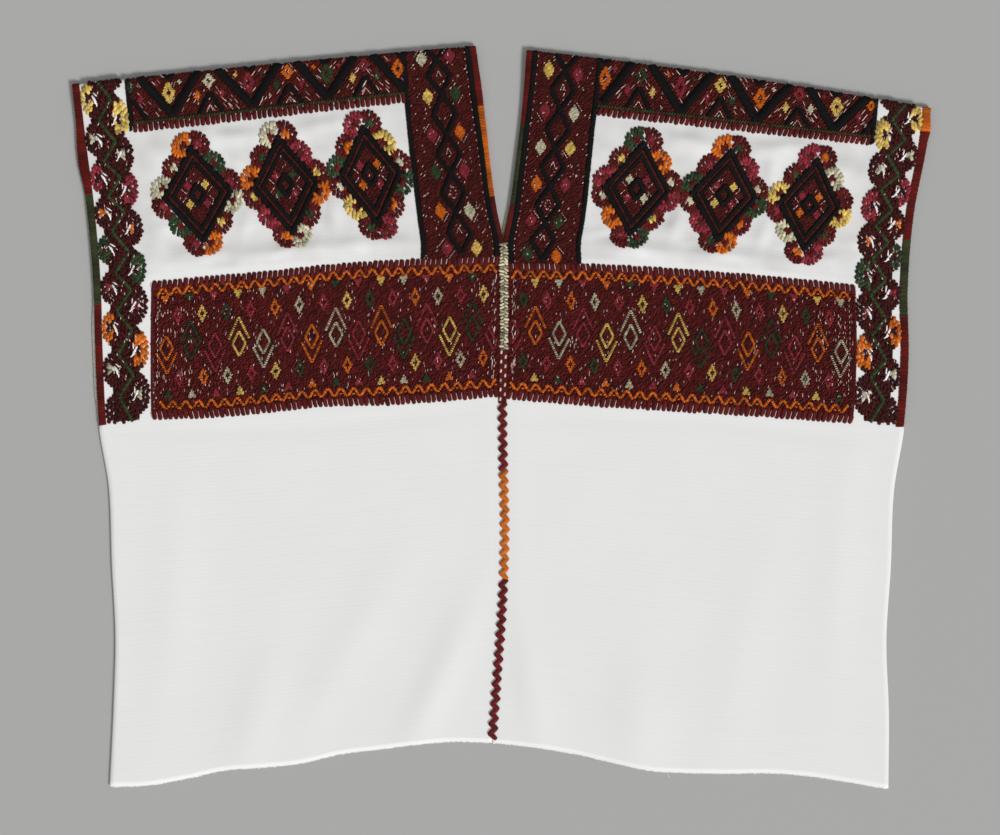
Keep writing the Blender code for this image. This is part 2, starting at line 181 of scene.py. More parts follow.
RIGHT_FOLDS = (
    Fold(150, 186, 45, 10, 4, 1.1),
    Fold(245, 188, 55, 11, -2, 1.4),
    Fold(325, 140, 60, 12, 78, 1.3),
    Fold(200, 68, 80, 12, 0, 0.9),
    Fold(35, 620, 75, 18, 74, 2.0),
    Fold(140, 632, 60, 24, 84, 1.9),
    Fold(240, 560, 100, 26, 100, 1.2),
    Fold(335, 470, 120, 20, 92, 1.1),
    Fold(118, 181, 22, 6, 5, 0.8),
    Fold(288, 180, 24, 6, -5, 0.8),
    Fold(130, 345, 120, 7, -2, -0.35),
    Fold(290, 345, 80, 7, 3, -0.35),
    Fold(12, 500, 120, 8, 90, 0.5),
    Fold(160, 64, 28, 7, 5, 2.3),
    Fold(245, 62, 30, 7, -3, 2.2),
    Fold(315, 78, 20, 8, 25, 1.9),
    Fold(161, 152, 18, 6, 96, 1.9),
    Fold(246, 90, 18, 6, 82, 1.8),
    Fold(246, 156, 18, 6, 98, 1.8),
    Fold(204, 184, 32, 7, -3, 2.4),
    Fold(120, 183, 34, 7, 4, 2.2),
)
Half = namedtuple("Half", "name side neck outer folds peek")


def small_puckers(seed):
    """Low uneven puckers that close stitching draws into the cloth round the medallions."""
    chance = np.random.default_rng(seed)
    rows = []
    for _ in range(46):
        place = chance.uniform((84, 54), (334, 190))
        reach, width = chance.uniform(7, 20), chance.uniform(3.5, 6.5)
        rows.append(Fold(*place, reach, width, chance.normal(0, 22), chance.uniform(0.35, 1.0)))
    return tuple(rows)


LEFT_FOLDS += small_puckers(4)
RIGHT_FOLDS += small_puckers(9)
LEFT = Half("left", -1, LEFT_NECK, LEFT_SIDE, LEFT_FOLDS, 2.6)
RIGHT = Half("right", 1, RIGHT_NECK, RIGHT_SIDE, RIGHT_FOLDS, 0.0)

# The length of fold that lies below its own widest point, so that a stitch can pass over the shoulder.
FOLD_LEAD = math.pi / 2 * FOLD_RADIUS - FOLD_RADIUS


def smooth(rows, column, at):
    """One column's values on a smooth curve through the rows, whose first column is the distance."""
    where = np.array([row[0] for row in rows], float)
    value = np.array([getattr(row, column) for row in rows], float)
    at = np.clip(at, where[0], where[-1])
    k = np.clip(np.searchsorted(where, at, side="right") - 1, 0, len(where) - 2)
    low = np.maximum(np.arange(len(where)) - 1, 0)
    high = np.minimum(np.arange(len(where)) + 1, len(where) - 1)
    slope = (value[high] - value[low]) / (where[high] - where[low])
    span = where[k + 1] - where[k]
    u = (at - where[k]) / span
    start = value[k] * (1 + 2 * u) * (1 - u) ** 2
    end = value[k + 1] * u * u * (3 - 2 * u)
    return start + end + span * (slope[k] * u * (1 - u) ** 2 - slope[k + 1] * u * u * (1 - u))


def ramp(value, low, high):
    u = np.clip((value - low) / (high - low), 0.0, 1.0)
    return u * u * (3 - 2 * u)


def plan(half, across, down, is_back):
    """The place of each point of the cloth, seen from above."""
    share = across / CLOTH_WIDTH
    inner = half.neck + SEAM_LINE
    inner_x = smooth(inner, "x", down)
    inner_y = smooth(inner, "y", down)
    outer_x = smooth(half.outer, "x", down)
    outer_y = smooth(half.outer, "y", down)
    sewn = ramp(down, NECK_DEPTH - 6, NECK_DEPTH)
    inner_x = inner_x + half.side * sewn * (SEAM_GAP / 2 + BACK_SEAM_INSET * is_back)
    peek = ramp(down, PEEK_FROM, PEEK_FROM + 30) * (1 - ramp(down, PEEK_TO - 30, PEEK_TO))
    outer_x = outer_x + half.side * half.peek * peek * is_back
    bow = smooth(BOWS, half.name, down) * 4 * share * (1 - share)
    bow = bow + smooth(HEM_WAVES, half.name, share) * ramp(down, CLOTH_DROP - HEM_WAVE_REACH, CLOTH_DROP)
    return inner_x + (outer_x - inner_x) * share, inner_y + (outer_y - inner_y) * share + bow


def layer_gap(half, across, down):
    """The space between the front layer and the back one, with the soft folds."""
    fullness = 2 * (FOLD_RADIUS - CLOTH_THICK) - LAYER_GAP
    total = 0.0
    for fold in half.folds:
        turn = math.radians(fold.turn)
        along = (across - fold.across) * math.cos(turn) + (down - fold.down) * math.sin(turn)
        beside = (down - fold.down) * math.cos(turn) - (across - fold.across) * math.sin(turn)
        total = total + fold.height * np.exp(-((along / fold.length) ** 2) - (beside / fold.width) ** 2)
    total = total * ramp(across, 0, 30) * ramp(CLOTH_WIDTH - across, 0, 30)
    return LAYER_GAP + fullness * np.exp(-(((down - FOLD_RADIUS) / FOLD_REACH) ** 2)) + total


def front_place(half, across, down):
    """The cloth's outer face on the front, in metres. Above the shoulder it goes round the fold."""
    angle = np.clip((down + FOLD_LEAD) / FOLD_RADIUS, -math.pi / 2, math.pi / 2)
    on_fold = down < FOLD_RADIUS
    flat_down = np.where(on_fold, FOLD_RADIUS - FOLD_RADIUS * np.cos(angle), down)
    x, y = plan(half, across, flat_down, 0.0)
    round_height = FOLD_RADIUS + FOLD_RADIUS * np.sin(angle)
    height = np.where(on_fold, round_height, 2 * CLOTH_THICK + layer_gap(half, across, flat_down))
    return np.stack([x, y, height], axis=-1) * MM


def back_place(half, across, down):
    """The cloth's outer face on the back, which lies on the floor."""
    x, y = plan(half, across, down, 1.0)
    return np.stack([x, y, np.zeros_like(x)], axis=-1) * MM


def seam_place(down):
    """The middle of the front's centre seam, level with the cloth's outer face."""
    height = 2 * CLOTH_THICK + layer_gap(LEFT, np.zeros_like(down), down)
    return np.stack([smooth(SEAM_LINE, "x", down), smooth(SEAM_LINE, "y", down), height], axis=-1) * MM


class Value:
    """An output of a shader node, which can stand in a sum."""

    def __init__(self, bench, socket):
        self.bench = bench
        self.socket = socket

    def sum(self, operation, one, other):
        return self.bench.node("ShaderNodeMath", {"operation": operation}, {0: one, 1: other})

    def __add__(self, other):
        return self.sum("ADD", self, other)

    def __sub__(self, other):
        return self.sum("SUBTRACT", self, other)

    def __rsub__(self, other):
        return self.sum("SUBTRACT", other, self)

    def __mul__(self, other):
        return self.sum("MULTIPLY", self, other)

    __radd__ = __add__
    __rmul__ = __mul__


class Bench:
    """A node tree at work: every node comes in by one method."""

    def __init__(self, tree):
        self.tree = tree

    def node(self, kind, settings=None, sockets=None, out=None):
        """Adds a node, sets it, links or fills its sockets, and gives one output."""
        made = self.tree.nodes.new(kind)
        for name, value in (settings or {}).items():
            if name == "stops":
                for stop, (place, colour) in zip(made.color_ramp.elements, value):
                    stop.position = place
                    stop.color = colour
            else:
                setattr(made, name, value)
        for name, value in (sockets or {}).items():
            self.fill(made, name, value)
        if out is None:
            return Value(self, next(socket for socket in made.outputs if socket.enabled))
        return Value(self, self.find(made.outputs, out))

    def find(self, sockets, name):
        """A socket by its number, its identifier or its name."""
        if isinstance(name, int):
            return sockets[name]
        exact = [socket for socket in sockets if socket.identifier == name]
        return (exact or [socket for socket in sockets if socket.name == name and socket.enabled])[0]

    def fill(self, made, name, value):
        socket = self.find(made.inputs, name)
        if isinstance(value, Value):
            self.tree.links.new(value.socket, socket)
        else:
            socket.default_value = value

    def mixed(self, share, one, other):
        """One colour turning into another by the share."""
        sockets = {"Factor_Float": share, "A_Color": one, "B_Color": other}
        return self.node("ShaderNodeMix", {"data_type": "RGBA"}, sockets, out="Result_Color")

    def noise(self, where, scale, detail):
        """A soft random pattern, of so many spots in a metre."""
        sockets = {"Vector": where, "Scale": scale, "Detail": detail}
        return self.node("ShaderNodeTexNoise", sockets=sockets, out="Fac")


class Finish(Bench):
    """A material with one Principled shader."""

    def __init__(self, name, settled):
        self.material = bpy.data.materials.new(name)
        self.material.use_nodes = True
        super().__init__(self.material.node_tree)
        self.shader = self.tree.nodes["Principled BSDF"]
        for socket, value in settled.items():
            self.shader.inputs[socket].default_value = value

    def show(self, sockets):
        for name, value in sockets.items():
            self.fill(self.shader, name, value)


def dye(red, green, blue):
    """A colour as it is seen, made linear."""
    shares = [value / 255 for value in (red, green, blue)]
    linear = [s / 12.92 if s <= 0.04045 else ((s + 0.055) / 1.055) ** 2.4 for s in shares]
    return (*linear, 1.0)


WEFT_PITCH = 0.9
WARP_PITCH = 1.1
RIB_PITCH = 3.6
COTTON_WHITE = (0.83, 0.83, 0.825, 1.0)
COTTON_SHADE = (0.76, 0.757, 0.748, 1.0)
# Painted shade: a greyer white mixed into the upper front, standing in for the shade of the puckers round the
# embroidery.
PUCKER_SHADE_WHITE = (0.55, 0.54, 0.525, 1.0)
# Where that painted shade sets in, as distances along the cut in metres: it covers the front above about 195
# mm down, and the back.
PUCKER_SHADE_SPAN = {"From Min": -0.199, "From Max": -0.193}
GROUND_RED = (0.030, 0.004, 0.004, 1.0)


def white_cotton():
    """Plain weave: fine weft ribs over the warp, heavier uneven ribs, a slightly uneven bleach, and painted
    shade: the upper front greyed in soft patches where the puckers round the embroidery would lie in shade.
    """
    finish = Finish("white_cotton", {"Roughness": 0.9, "Specular IOR Level": 0.2})
    flat = finish.node("ShaderNodeUVMap", {"uv_map": "cut"})
    run = finish.node("ShaderNodeSeparateXYZ", sockets={"Vector": flat})
    drop = Value(finish, run.socket.node.outputs["Y"])
    drift = finish.noise(flat, 14.0, 2.0)
    slub_place = finish.node("ShaderNodeMapping", sockets={"Vector": flat, "Scale": (9.0, 260.0, 1.0)})
    slub = finish.noise(slub_place, 1.0, 3.0)
    weft_turn = drop * (2 * math.pi / (WEFT_PITCH * MM)) + drift * 9.0
    weft = finish.node("ShaderNodeMath", {"operation": "SINE"}, {0: weft_turn})
    warp_turn = run * (2 * math.pi / (WARP_PITCH * MM)) + drift * 6.0
    warp = finish.node("ShaderNodeMath", {"operation": "SINE"}, {0: warp_turn})
    rib_turn = drop * (2 * math.pi / (RIB_PITCH * MM)) + slub * 9.0
    rib = finish.node("ShaderNodeMath", {"operation": "SINE"}, {0: rib_turn})
    fuzz = finish.noise(flat, 900.0, 2.0)
    height = weft * 0.10 + warp * weft * 0.08 + rib * slub * 0.16 + slub * 0.45 + fuzz * 0.5
    bump = finish.node(
        "ShaderNodeBump", sockets={"Height": height, "Strength": 0.5, "Distance": 0.0003}, out="Normal"
    )
    grey = finish.mixed(drift * 0.35 + slub * 0.30 + fuzz * 0.2, COTTON_WHITE, COTTON_SHADE)
    depth = finish.node("ShaderNodeAttribute", {"attribute_name": "under_stitches"}, out="Fac")
    under_range = {"Value": depth, "From Min": -0.2, "From Max": 0.4}
    under = finish.node("ShaderNodeMapRange", {"clamp": True}, under_range, out="Result")
    # Painted shade: above the chest band the white is greyed in soft noisy patches, for the shade of the
    # puckers round the embroidery.
    upper = finish.node("ShaderNodeMapRange", {"clamp": True}, {"Value": drop, **PUCKER_SHADE_SPAN}, out="Result")
    pucker_shade_noise = finish.noise(flat, 34.0, 1.0)
    grey = finish.mixed(upper * (pucker_shade_noise * 1.1 - 0.22), grey, PUCKER_SHADE_WHITE)
    finish.show({"Base Color": finish.mixed(under, grey, GROUND_RED), "Normal": bump})
    return finish.material


# Where the embroidery is so close that no cloth shows between its stitches, as convex outlines.
MEDALLIONS = {"left": (114.5, 197.0, 281.5), "right": (118.5, 204.0, 287.0)}
MEDALLION_DROP = {"left": 117.5, "right": 119.0}
CHEST_END = {"left": 335.0, "right": 338.0}
CHEST_DROP = {"left": ((198.5, 207.5), (323.5, 325.0)), "right": ((204.5, 205.0), (326.0, 327.0))}
NECK_BAND = {"left": (67.0, 75.0), "right": (68.5, 72.0)}


def close_fields(half):
    """Corners (across, down) of each closely stitched field."""
    top, foot = NECK_BAND[half.name]
    end = CHEST_END[half.name] - 1.5
    chest_top, chest_foot = CHEST_DROP[half.name]
    fields = [
        [(-1, -2.4), (-1, 186), (6.5, 207), (foot, 207), (top, -2.4)],
        [(top - 3, -2.4), (top - 3, 42), (336.5, 42), (336.5, -2.4)],
        [(2.5, chest_top[0]), (2.5, chest_foot[0]), (end, chest_foot[1]), (end, chest_top[1])],
        [(348.5, -2.4), (348.5, 330), (373, 330), (373, -2.4)],
        [(381, -2.4), (381, 332.5), (389, 332.5), (389, -2.4)],
    ]
    drop = MEDALLION_DROP[half.name]
    for centre in MEDALLIONS[half.name]:
        fields.append([(centre, drop - 54), (centre + 36, drop), (centre, drop + 54), (centre - 36, drop)])
    return fields


def depth_inside(outline, across, down):
    """How far each point lies inside a convex outline, or a number below zero outside it."""
    corners = np.array(outline, float)
    after = np.roll(corners, -1, axis=0)
    way = after - corners
    middle = corners.mean(axis=0)
    depth = np.full(np.shape(across), np.inf)
    for (a0, d0), (wa, wd) in zip(corners, way):
        length = math.hypot(wa, wd)
        offset = ((across - a0) * wd - (down - d0) * wa) / length
        centre = ((middle[0] - a0) * wd - (middle[1] - d0) * wa) / length
        depth = np.minimum(depth, offset * np.sign(centre))
    return depth


def make_cloth(half, finish):
    """One loom length as a thin shell: the front from its hem to the fold, and the back to its hem."""
    columns = np.linspace(0, CLOTH_WIDTH, 101)
    front = np.concatenate([np.linspace(CLOTH_DROP, ARMHOLE_DEPTH, 76), np.linspace(330, FOLD_RADIUS, 96)])
    fold = np.linspace(FOLD_RADIUS, -FOLD_RADIUS - 2 * FOLD_LEAD, 9)[1:]
    back = np.concatenate([np.linspace(FOLD_RADIUS, 330, 28)[1:], np.linspace(ARMHOLE_DEPTH, CLOTH_DROP, 28)])
    outer = np.concatenate([front, fold])
    across, down = np.meshgrid(columns, outer)
    back_across, back_down = np.meshgrid(columns, back)
    places = np.concatenate([front_place(half, across, down), back_place(half, back_across, back_down)])
    rows, width = places.shape[:2]
    along = np.concatenate([-outer, back])
    depth = np.max([depth_inside(field, across, down) for field in close_fields(half)], axis=0)
    depth = np.concatenate([depth, np.full(back_across.shape, -5.0)])

    number = np.arange(rows * width).reshape(rows, width)
    quads = np.stack([number[:-1, :-1], number[:-1, 1:], number[1:, 1:], number[1:, :-1]], axis=-1)
    quads = quads.reshape(-1, 4)
    # The side seam below the armhole: a column of its own between the front and back selvedges.
    sewn = np.flatnonzero(front >= ARMHOLE_DEPTH - 0.01)
    front_edge = places[sewn, -1]
    back_edge = back_place(half, np.full(len(sewn), CLOTH_WIDTH), front[sewn])
    seam = (front_edge + back_edge) / 2
    seam[:, 0] += half.side * SIDE_SEAM_BULGE * MM
    seam_number = rows * width + np.arange(len(sewn))
    back_number = seam_number + len(sewn)
    one, other = number[sewn, -1], seam_number
    seam_quads = [np.stack([one[:-1], other[:-1], other[1:], one[1:]], axis=-1)]
    one, other = seam_number, back_number
    seam_quads.append(np.stack([one[:-1], other[:-1], other[1:], one[1:]], axis=-1))
    places = np.concatenate([places.reshape(-1, 3), seam, back_edge])
    quads = np.concatenate([quads, *seam_quads])
    depth = np.concatenate([depth.reshape(-1), np.full(2 * len(sewn), -5.0)])
    flat_across = np.concatenate([np.tile(columns, rows), np.full(2 * len(sewn), CLOTH_WIDTH)])
    flat_along = np.concatenate([np.repeat(along, width), -front[sewn], -front[sewn]])
    if half.side < 0:
        quads = quads[:, ::-1]

    mesh = bpy.data.meshes.new(half.name + "_cloth")
    mesh.from_pydata(places.tolist(), [], quads.tolist())
    mesh.materials.append(finish)
    under = mesh.attributes.new("under_stitches", "FLOAT", "POINT")
    under.data.foreach_set("value", depth.astype(np.float32))
    corner = np.zeros(len(mesh.loops), np.int32)
    mesh.loops.foreach_get("vertex_index", corner)
    cut = mesh.uv_layers.new(name="cut")
    flat = np.stack([flat_across[corner], flat_along[corner]], axis=-1) * MM
    cut.data.foreach_set("uv", flat.astype(np.float32).ravel())
    mesh.shade_smooth()
    item = bpy.data.objects.new(half.name + "_cloth", mesh)
    bpy.context.scene.collection.objects.link(item)
    wall = item.modifiers.new("wall", "SOLIDIFY")
    wall.thickness = SHELL_THICK * MM
    wall.offset = -1.0
    wall.use_rim = True
    make_plain(item)
    return item


def make_plain(item):
    """What the modifiers make becomes the object's own mesh."""
    bpy.context.view_layer.update()
    graph = bpy.context.evaluated_depsgraph_get()
    mesh = bpy.data.meshes.new_from_object(
        item.evaluated_get(graph), preserve_all_data_layers=True, depsgraph=graph
    )
    item.modifiers.clear()
    item.data = mesh
    mesh.name = item.name


cotton = white_cotton()
cloths = {half.name: make_cloth(half, cotton) for half in (LEFT, RIGHT)}
for half in (LEFT, RIGHT):
    cloth = cloths[half.name]
    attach(cloth, "root")
    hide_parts(half.name + "_panel")


# The neck bands
# Thick cotton floss covers the cloth beside the neck slit in slanting rows of dark red. Black lines edge
# the band, and a chain of black diamonds runs down its middle with a bright dot in each side corner.
RED = dye(72, 19, 15)
DEEP_RED = dye(82, 19, 17)
BRICK = dye(76, 20, 13)
BLACK = dye(11, 10, 11)
ORANGE = dye(188, 94, 22)
YELLOW = dye(200, 170, 88)
CREAM = dye(183, 177, 150)
ROSE = dye(124, 38, 48)
GREEN = dye(44, 60, 36)
PINK_WHITE = dye(208, 184, 176)


def thread_finish(name, roughness):
    """Stranded cotton: its colour is kept in the stitches, with a fine grain of twisted strands."""
    finish = Finish(name, {"Roughness": roughness, "Specular IOR Level": 0.16})
    colour = finish.node("ShaderNodeAttribute", {"attribute_name": "thread"}, out="Color")
    where = finish.node("ShaderNodeTexCoord", out="Object")
    strand = finish.noise(where, 1600.0, 2.0)
    bump = finish.node(
        "ShaderNodeBump", sockets={"Height": strand, "Strength": 0.5, "Distance": 0.0003}, out="Normal"
    )
    worn = finish.node(
        "ShaderNodeHueSaturation", sockets={"Value": strand * 0.5 + 0.75, "Color": colour}, out="Color"
    )
    finish.show({"Base Color": worn, "Normal": bump})
    return finish.material


def stitch_tree():
    """Geometry Nodes: on each point lies one stitch, a blunt grain turned by the point's run and face."""
    tree = bpy.data.node_groups.new("one_stitch_on_each_point", "GeometryNodeTree")
    tree.interface.new_socket("Geometry", in_out="INPUT", socket_type="NodeSocketGeometry")
    for name, kind, value in (
        ("Sides", "NodeSocketInt", 4),
        ("Rings", "NodeSocketInt", 3),
        ("Bluntness", "NodeSocketFloat", 0.7),
        ("Fullness", "NodeSocketFloat", 0.55),
        ("Lean Chance", "NodeSocketFloat", 0.12),
        ("Size Chance", "NodeSocketFloat", 0.10),
        ("Seed", "NodeSocketInt", 5),
        ("Floss", "NodeSocketMaterial", None),
    ):
        socket = tree.interface.new_socket(name, in_out="INPUT", socket_type=kind)
        if value is not None:
            socket.default_value = value
    tree.interface.new_socket("Geometry", in_out="OUTPUT", socket_type="NodeSocketGeometry")
    bench = Bench(tree)
    given = tree.nodes.new("NodeGroupInput")

    def asked(name):
        return Value(bench, given.outputs[name])

    grain = bench.node(
        "GeometryNodeMeshUVSphere",
        sockets={"Segments": asked("Sides"), "Rings": asked("Rings"), "Radius": 0.5},
        out="Mesh",
    )
    place = bench.node("ShaderNodeSeparateXYZ", sockets={"Vector": bench.node("GeometryNodeInputPosition")})
    x, y, z = (Value(bench, place.socket.node.outputs[axis]) for axis in "XYZ")
    size = bench.node("ShaderNodeMath", {"operation": "ABSOLUTE"}, {0: z * 2.0})
    blunt = bench.node("ShaderNodeMath", {"operation": "POWER"}, {0: size, 1: asked("Bluntness")})
    way = bench.node("ShaderNodeMath", {"operation": "SIGN"}, {0: z})
    radius = bench.node("ShaderNodeMath", {"operation": "POWER"}, {0: x * x + y * y + 0.000001, 1: 0.5}) * 2.0
    full = bench.node("ShaderNodeMath", {"operation": "POWER"}, {0: radius, 1: asked("Fullness") - 1.0})
    moved = bench.node("ShaderNodeCombineXYZ", sockets={"X": x * full, "Y": y * full, "Z": blunt * way * 0.5})
    grain = bench.node("GeometryNodeSetPosition", sockets={"Geometry": grain, "Position": moved})
    grain = bench.node("GeometryNodeSetShadeSmooth", sockets={"Geometry": grain, "Shade Smooth": True})

    def kept(name):
        return bench.node(
            "GeometryNodeInputNamedAttribute", {"data_type": "FLOAT_VECTOR"}, {"Name": name}, out="Attribute"
        )

    def chance(least, most, shift):
        return bench.node(
            "FunctionNodeRandomValue",
            {"data_type": "FLOAT"},
            {"Min_001": least, "Max_001": most, "Seed": asked("Seed") + shift},
            out=1,
        )

    turn = bench.node("FunctionNodeAlignRotationToVector", {"axis": "Z"}, {"Vector": kept("run")})
    turn = bench.node(
        "FunctionNodeAlignRotationToVector",
        {"axis": "Y", "pivot_axis": "Z"},
        {"Rotation": turn, "Vector": kept("face")},
    )
    swing = chance(asked("Lean Chance") * -1.0, asked("Lean Chance"), 0)
    by = bench.node("ShaderNodeCombineXYZ", sockets={"X": 0.0, "Y": swing, "Z": 0.0})
    by = bench.node("FunctionNodeEulerToRotation", sockets={"Euler": by})
    turn = bench.node(
        "FunctionNodeRotateRotation", {"rotation_space": "LOCAL"}, {"Rotation": turn, "Rotate By": by}
    )
    grow = chance(1.0 - asked("Size Chance"), asked("Size Chance") + 1.0, 7)
    scale = bench.node(
        "ShaderNodeVectorMath", {"operation": "SCALE"}, {"Vector": kept("size"), "Scale": grow}, out="Vector"
    )
    laid = bench.node(
        "GeometryNodeInstanceOnPoints",
        sockets={"Points": asked("Geometry"), "Instance": grain, "Rotation": turn, "Scale": scale},
    )
    laid = bench.node("GeometryNodeRealizeInstances", sockets={"Geometry": laid})
    laid = bench.node("GeometryNodeSetMaterial", sockets={"Geometry": laid, "Material": asked("Floss")})
    end = tree.nodes.new("NodeGroupOutput")
    tree.links.new(laid.socket, end.inputs["Geometry"])
    return tree


STITCHES = stitch_tree()
FLOSS = thread_finish("embroidery_floss", 0.72)


def lay_stitches(
    name, points, run, face, size, colour, slot, sides=4, rings=3, blunt=0.7, lean=0.08, grow=0.08
):
    """Lays one stitch at each point, as one joined mesh that rides on the blouse."""
    mesh = bpy.data.meshes.new(name)
    mesh.from_pydata(np.asarray(points).tolist(), [], [])
    for key, value in (("run", run), ("face", face), ("size", size)):
        layer = mesh.attributes.new(key, "FLOAT_VECTOR", "POINT")
        layer.data.foreach_set("vector", np.asarray(value, np.float32).ravel())
    thread = mesh.attributes.new("thread", "FLOAT_COLOR", "POINT")
    thread.data.foreach_set("color", np.asarray(colour, np.float32).ravel())
    item = bpy.data.objects.new(name, mesh)
    bpy.context.scene.collection.objects.link(item)
    laying = item.modifiers.new("stitches", "NODES")
    laying.node_group = STITCHES
    wanted = {
        "Sides": sides, "Rings": rings, "Bluntness": blunt,
        "Lean Chance": lean, "Size Chance": grow, "Floss": FLOSS,
    }
    for socket in STITCHES.interface.items_tree:
        if socket.in_out == "INPUT" and socket.name in wanted:
            laying[socket.identifier] = wanted[socket.name]
    make_plain(item)
    for key in ("run", "face", "size"):
        layer = item.data.attributes.get(key)
        if layer is not None:
            item.data.attributes.remove(layer)
    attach(item, "root")
    return item


class Chart:
    """The stitches of one field, kept by their place on the flat cloth until they are laid."""

    def __init__(self, half, seed, drift=None):
        self.half = half
        self.chance = np.random.default_rng(seed)
        self.drift = drift
        self.rows = []
        self.strokes = []
        self.diamonds = []

    def lay(self, across, down, lean, size, colour, lift=0.45, uneven=0.13):
        """lean is how stitches run, in degrees up from the right as seen from above. size is in mm."""
        across = np.atleast_1d(np.asarray(across, float))
        count = len(across)
        if count == 0:
            return
        rows = np.zeros((count, 11))
        rows[:, 0] = across
        rows[:, 1] = down
        rows[:, 2] = lean
        rows[:, 3:6] = size
        rows[:, 6] = lift
        tone = self.chance.normal(1.0, uneven, (count, 1)).clip(0.55, 1.5)
        rows[:, 7:10] = np.asarray(colour, float)[..., :3] * tone
        rows[:, 10] = 1.0
        self.rows.append(rows)

    def run(
        self, path, pitch, lean=None, size=(3.4, 1.7, 1.2), colour=RED, lift=0.55, keep=True, uneven=0.13
    ):
        """Slanting stitches one after another along a path. With no lean they lie straight across it."""
        for (a0, d0), (a1, d1) in zip(path, path[1:]):
            length = math.hypot(a1 - a0, d1 - d0)
            count = max(1, round(length / pitch))
            share = (np.arange(count) + 0.5) / count
            way = math.degrees(math.atan2(d0 - d1, self.half.side * (a1 - a0)))
            self.lay(
                a0 + (a1 - a0) * share, d0 + (d1 - d0) * share, way + 90 if lean is None else lean,
                size, colour, lift, uneven,
            )
            if keep:
                wide = size[0] / 2 if lean is None else size[0] * 0.42
                self.strokes.append((a0, d0, a1, d1, wide))

    def solid(self, across, down, half_width, half_height, colour, hole=0.0, shape="diamond", lean=38):
        """A small filled diamond or triangle. The hole is the share of it that stays open at its middle."""
        pitch, size = (1.7, 1.2), (2.5, 1.4, 1.35)
        reach = int((half_height + half_width) / 1.2) + 2
        i, j = np.meshgrid(np.arange(-reach, reach + 1), np.arange(-reach, reach + 1))
        along = (i + 0.5 * (j % 2)) * pitch[0]
        beside = j * pitch[1]
        turn = math.radians(lean)
        right = along * math.cos(turn) - beside * math.sin(turn)
        up = along * math.sin(turn) + beside * math.cos(turn)
        if shape == "diamond":
            far = np.abs(right) / (half_width - 0.4) + np.abs(up) / (half_height - 0.4)
        else:
            rise = up if shape == "down" else -up
            far = np.abs(right) / (half_width - 0.3) + 0.5 - rise / half_height / 2
            far = np.where(np.abs(up) < half_height - 0.4, far, 2.0)
        kept = (far < 1.0) & (far >= hole)
        self.lay(across + self.half.side * right[kept], down - up[kept], lean, size, colour, 0.6, 0.26)
        if half_height > 4 and self.chance.random() < 0.45:
            spot = self.chance.uniform(-0.35, 0.35, (2, 2)) * (half_width, half_height)
            lie = self.chance.uniform(55, 110, 2)
            self.lay(across + spot[:, 0], down + spot[:, 1], lie, (1.9, 0.7, 0.8), PINK_WHITE, 1.15, 0.2)
        self.diamonds.append((across, down, half_width, half_height, hole))

    def ring(self, across, down, half_width, half_height, **how):
        """The outline of a diamond."""
        corners = [(0, -half_height), (half_width, 0), (0, half_height), (-half_width, 0), (0, -half_height)]
        self.run([(across + a, down + d) for a, d in corners], **how)

    def free(self, across, down):
        """Which points no stroke and no filled diamond covers."""
        open_cloth = np.ones(len(across), bool)
        for a0, d0, a1, d1, wide in self.strokes:
            way = np.array([a1 - a0, d1 - d0])
            share = ((across - a0) * way[0] + (down - d0) * way[1]) / max(way @ way, 1e-9)
            share = share.clip(0, 1)
            apart = np.hypot(across - a0 - way[0] * share, down - d0 - way[1] * share)
            open_cloth &= apart > wide + 0.35
        for a0, d0, half_width, half_height, hole in self.diamonds:
            far = np.abs(across - a0) / half_width + np.abs(down - d0) / half_height
            open_cloth &= (far > 1.04) | (far < hole * 0.7)
        return open_cloth

    def ground(self, outline, colour, lean=48, size=(4.4, 1.85, 1.3), pitch=(3.6, 1.86), light=0.02):
        """Rows of slanting stitches that fill an outline, round what is already there."""
        corners = np.array(outline, float)
        centre = corners.mean(axis=0)
        reach = np.abs(corners - centre).sum(axis=1).max() + 5
        steps = (int(reach / pitch[0]) + 1, int(reach / pitch[1]) + 1)
        i, j = np.meshgrid(np.arange(-steps[0], steps[0] + 1), np.arange(-steps[1], steps[1] + 1))
        i, j = i.ravel(), j.ravel()
        along = (i + 0.5 * (j % 2) + self.chance.uniform(-0.16, 0.16, len(i))) * pitch[0]
        beside = (j + self.chance.uniform(-0.34, 0.34, len(i))) * pitch[1]
        turn = math.radians(lean)
        right = along * math.cos(turn) - beside * math.sin(turn)
        up = along * math.sin(turn) + beside * math.cos(turn)
        across = centre[0] + self.half.side * right
        down = centre[1] - up
        kept = depth_inside(outline, across, down) > 0
        across, down = across[kept], down[kept]
        kept = self.free(across, down)
        across, down = across[kept], down[kept]
        specks = self.chance.random(len(across)) < light
        self.lay(across, down, lean + self.chance.normal(0, 5, len(across)), size, colour, 0.35, 0.26)
        self.lay(across[specks], down[specks], 84, (2.9, 0.9, 0.8), PINK_WHITE, 0.95, 0.2)

    def glints(self, outline, count, lean, length=3.6, lift=0.95):
        """Short pale lines where the cloth shows between the stitches, anywhere free in an outline."""
        corners = np.array(outline, float)
        across, down = self.chance.uniform(corners.min(axis=0), corners.max(axis=0), (count * 3, 2)).T
        kept = (depth_inside(outline, across, down) > 1.5) & self.free(across, down)
        across, down = across[kept][:count], down[kept][:count]
        lean = (lean(across, down) if callable(lean) else lean) + self.chance.normal(0, 6, len(across))
        sizes = np.stack([
            length * self.chance.uniform(0.5, 1.4, len(across)), self.chance.uniform(0.45, 0.85, len(across)),
            np.full(len(across), 0.8),
        ], axis=-1)
        self.lay(across, down, lean, sizes, PINK_WHITE, lift, 0.3)

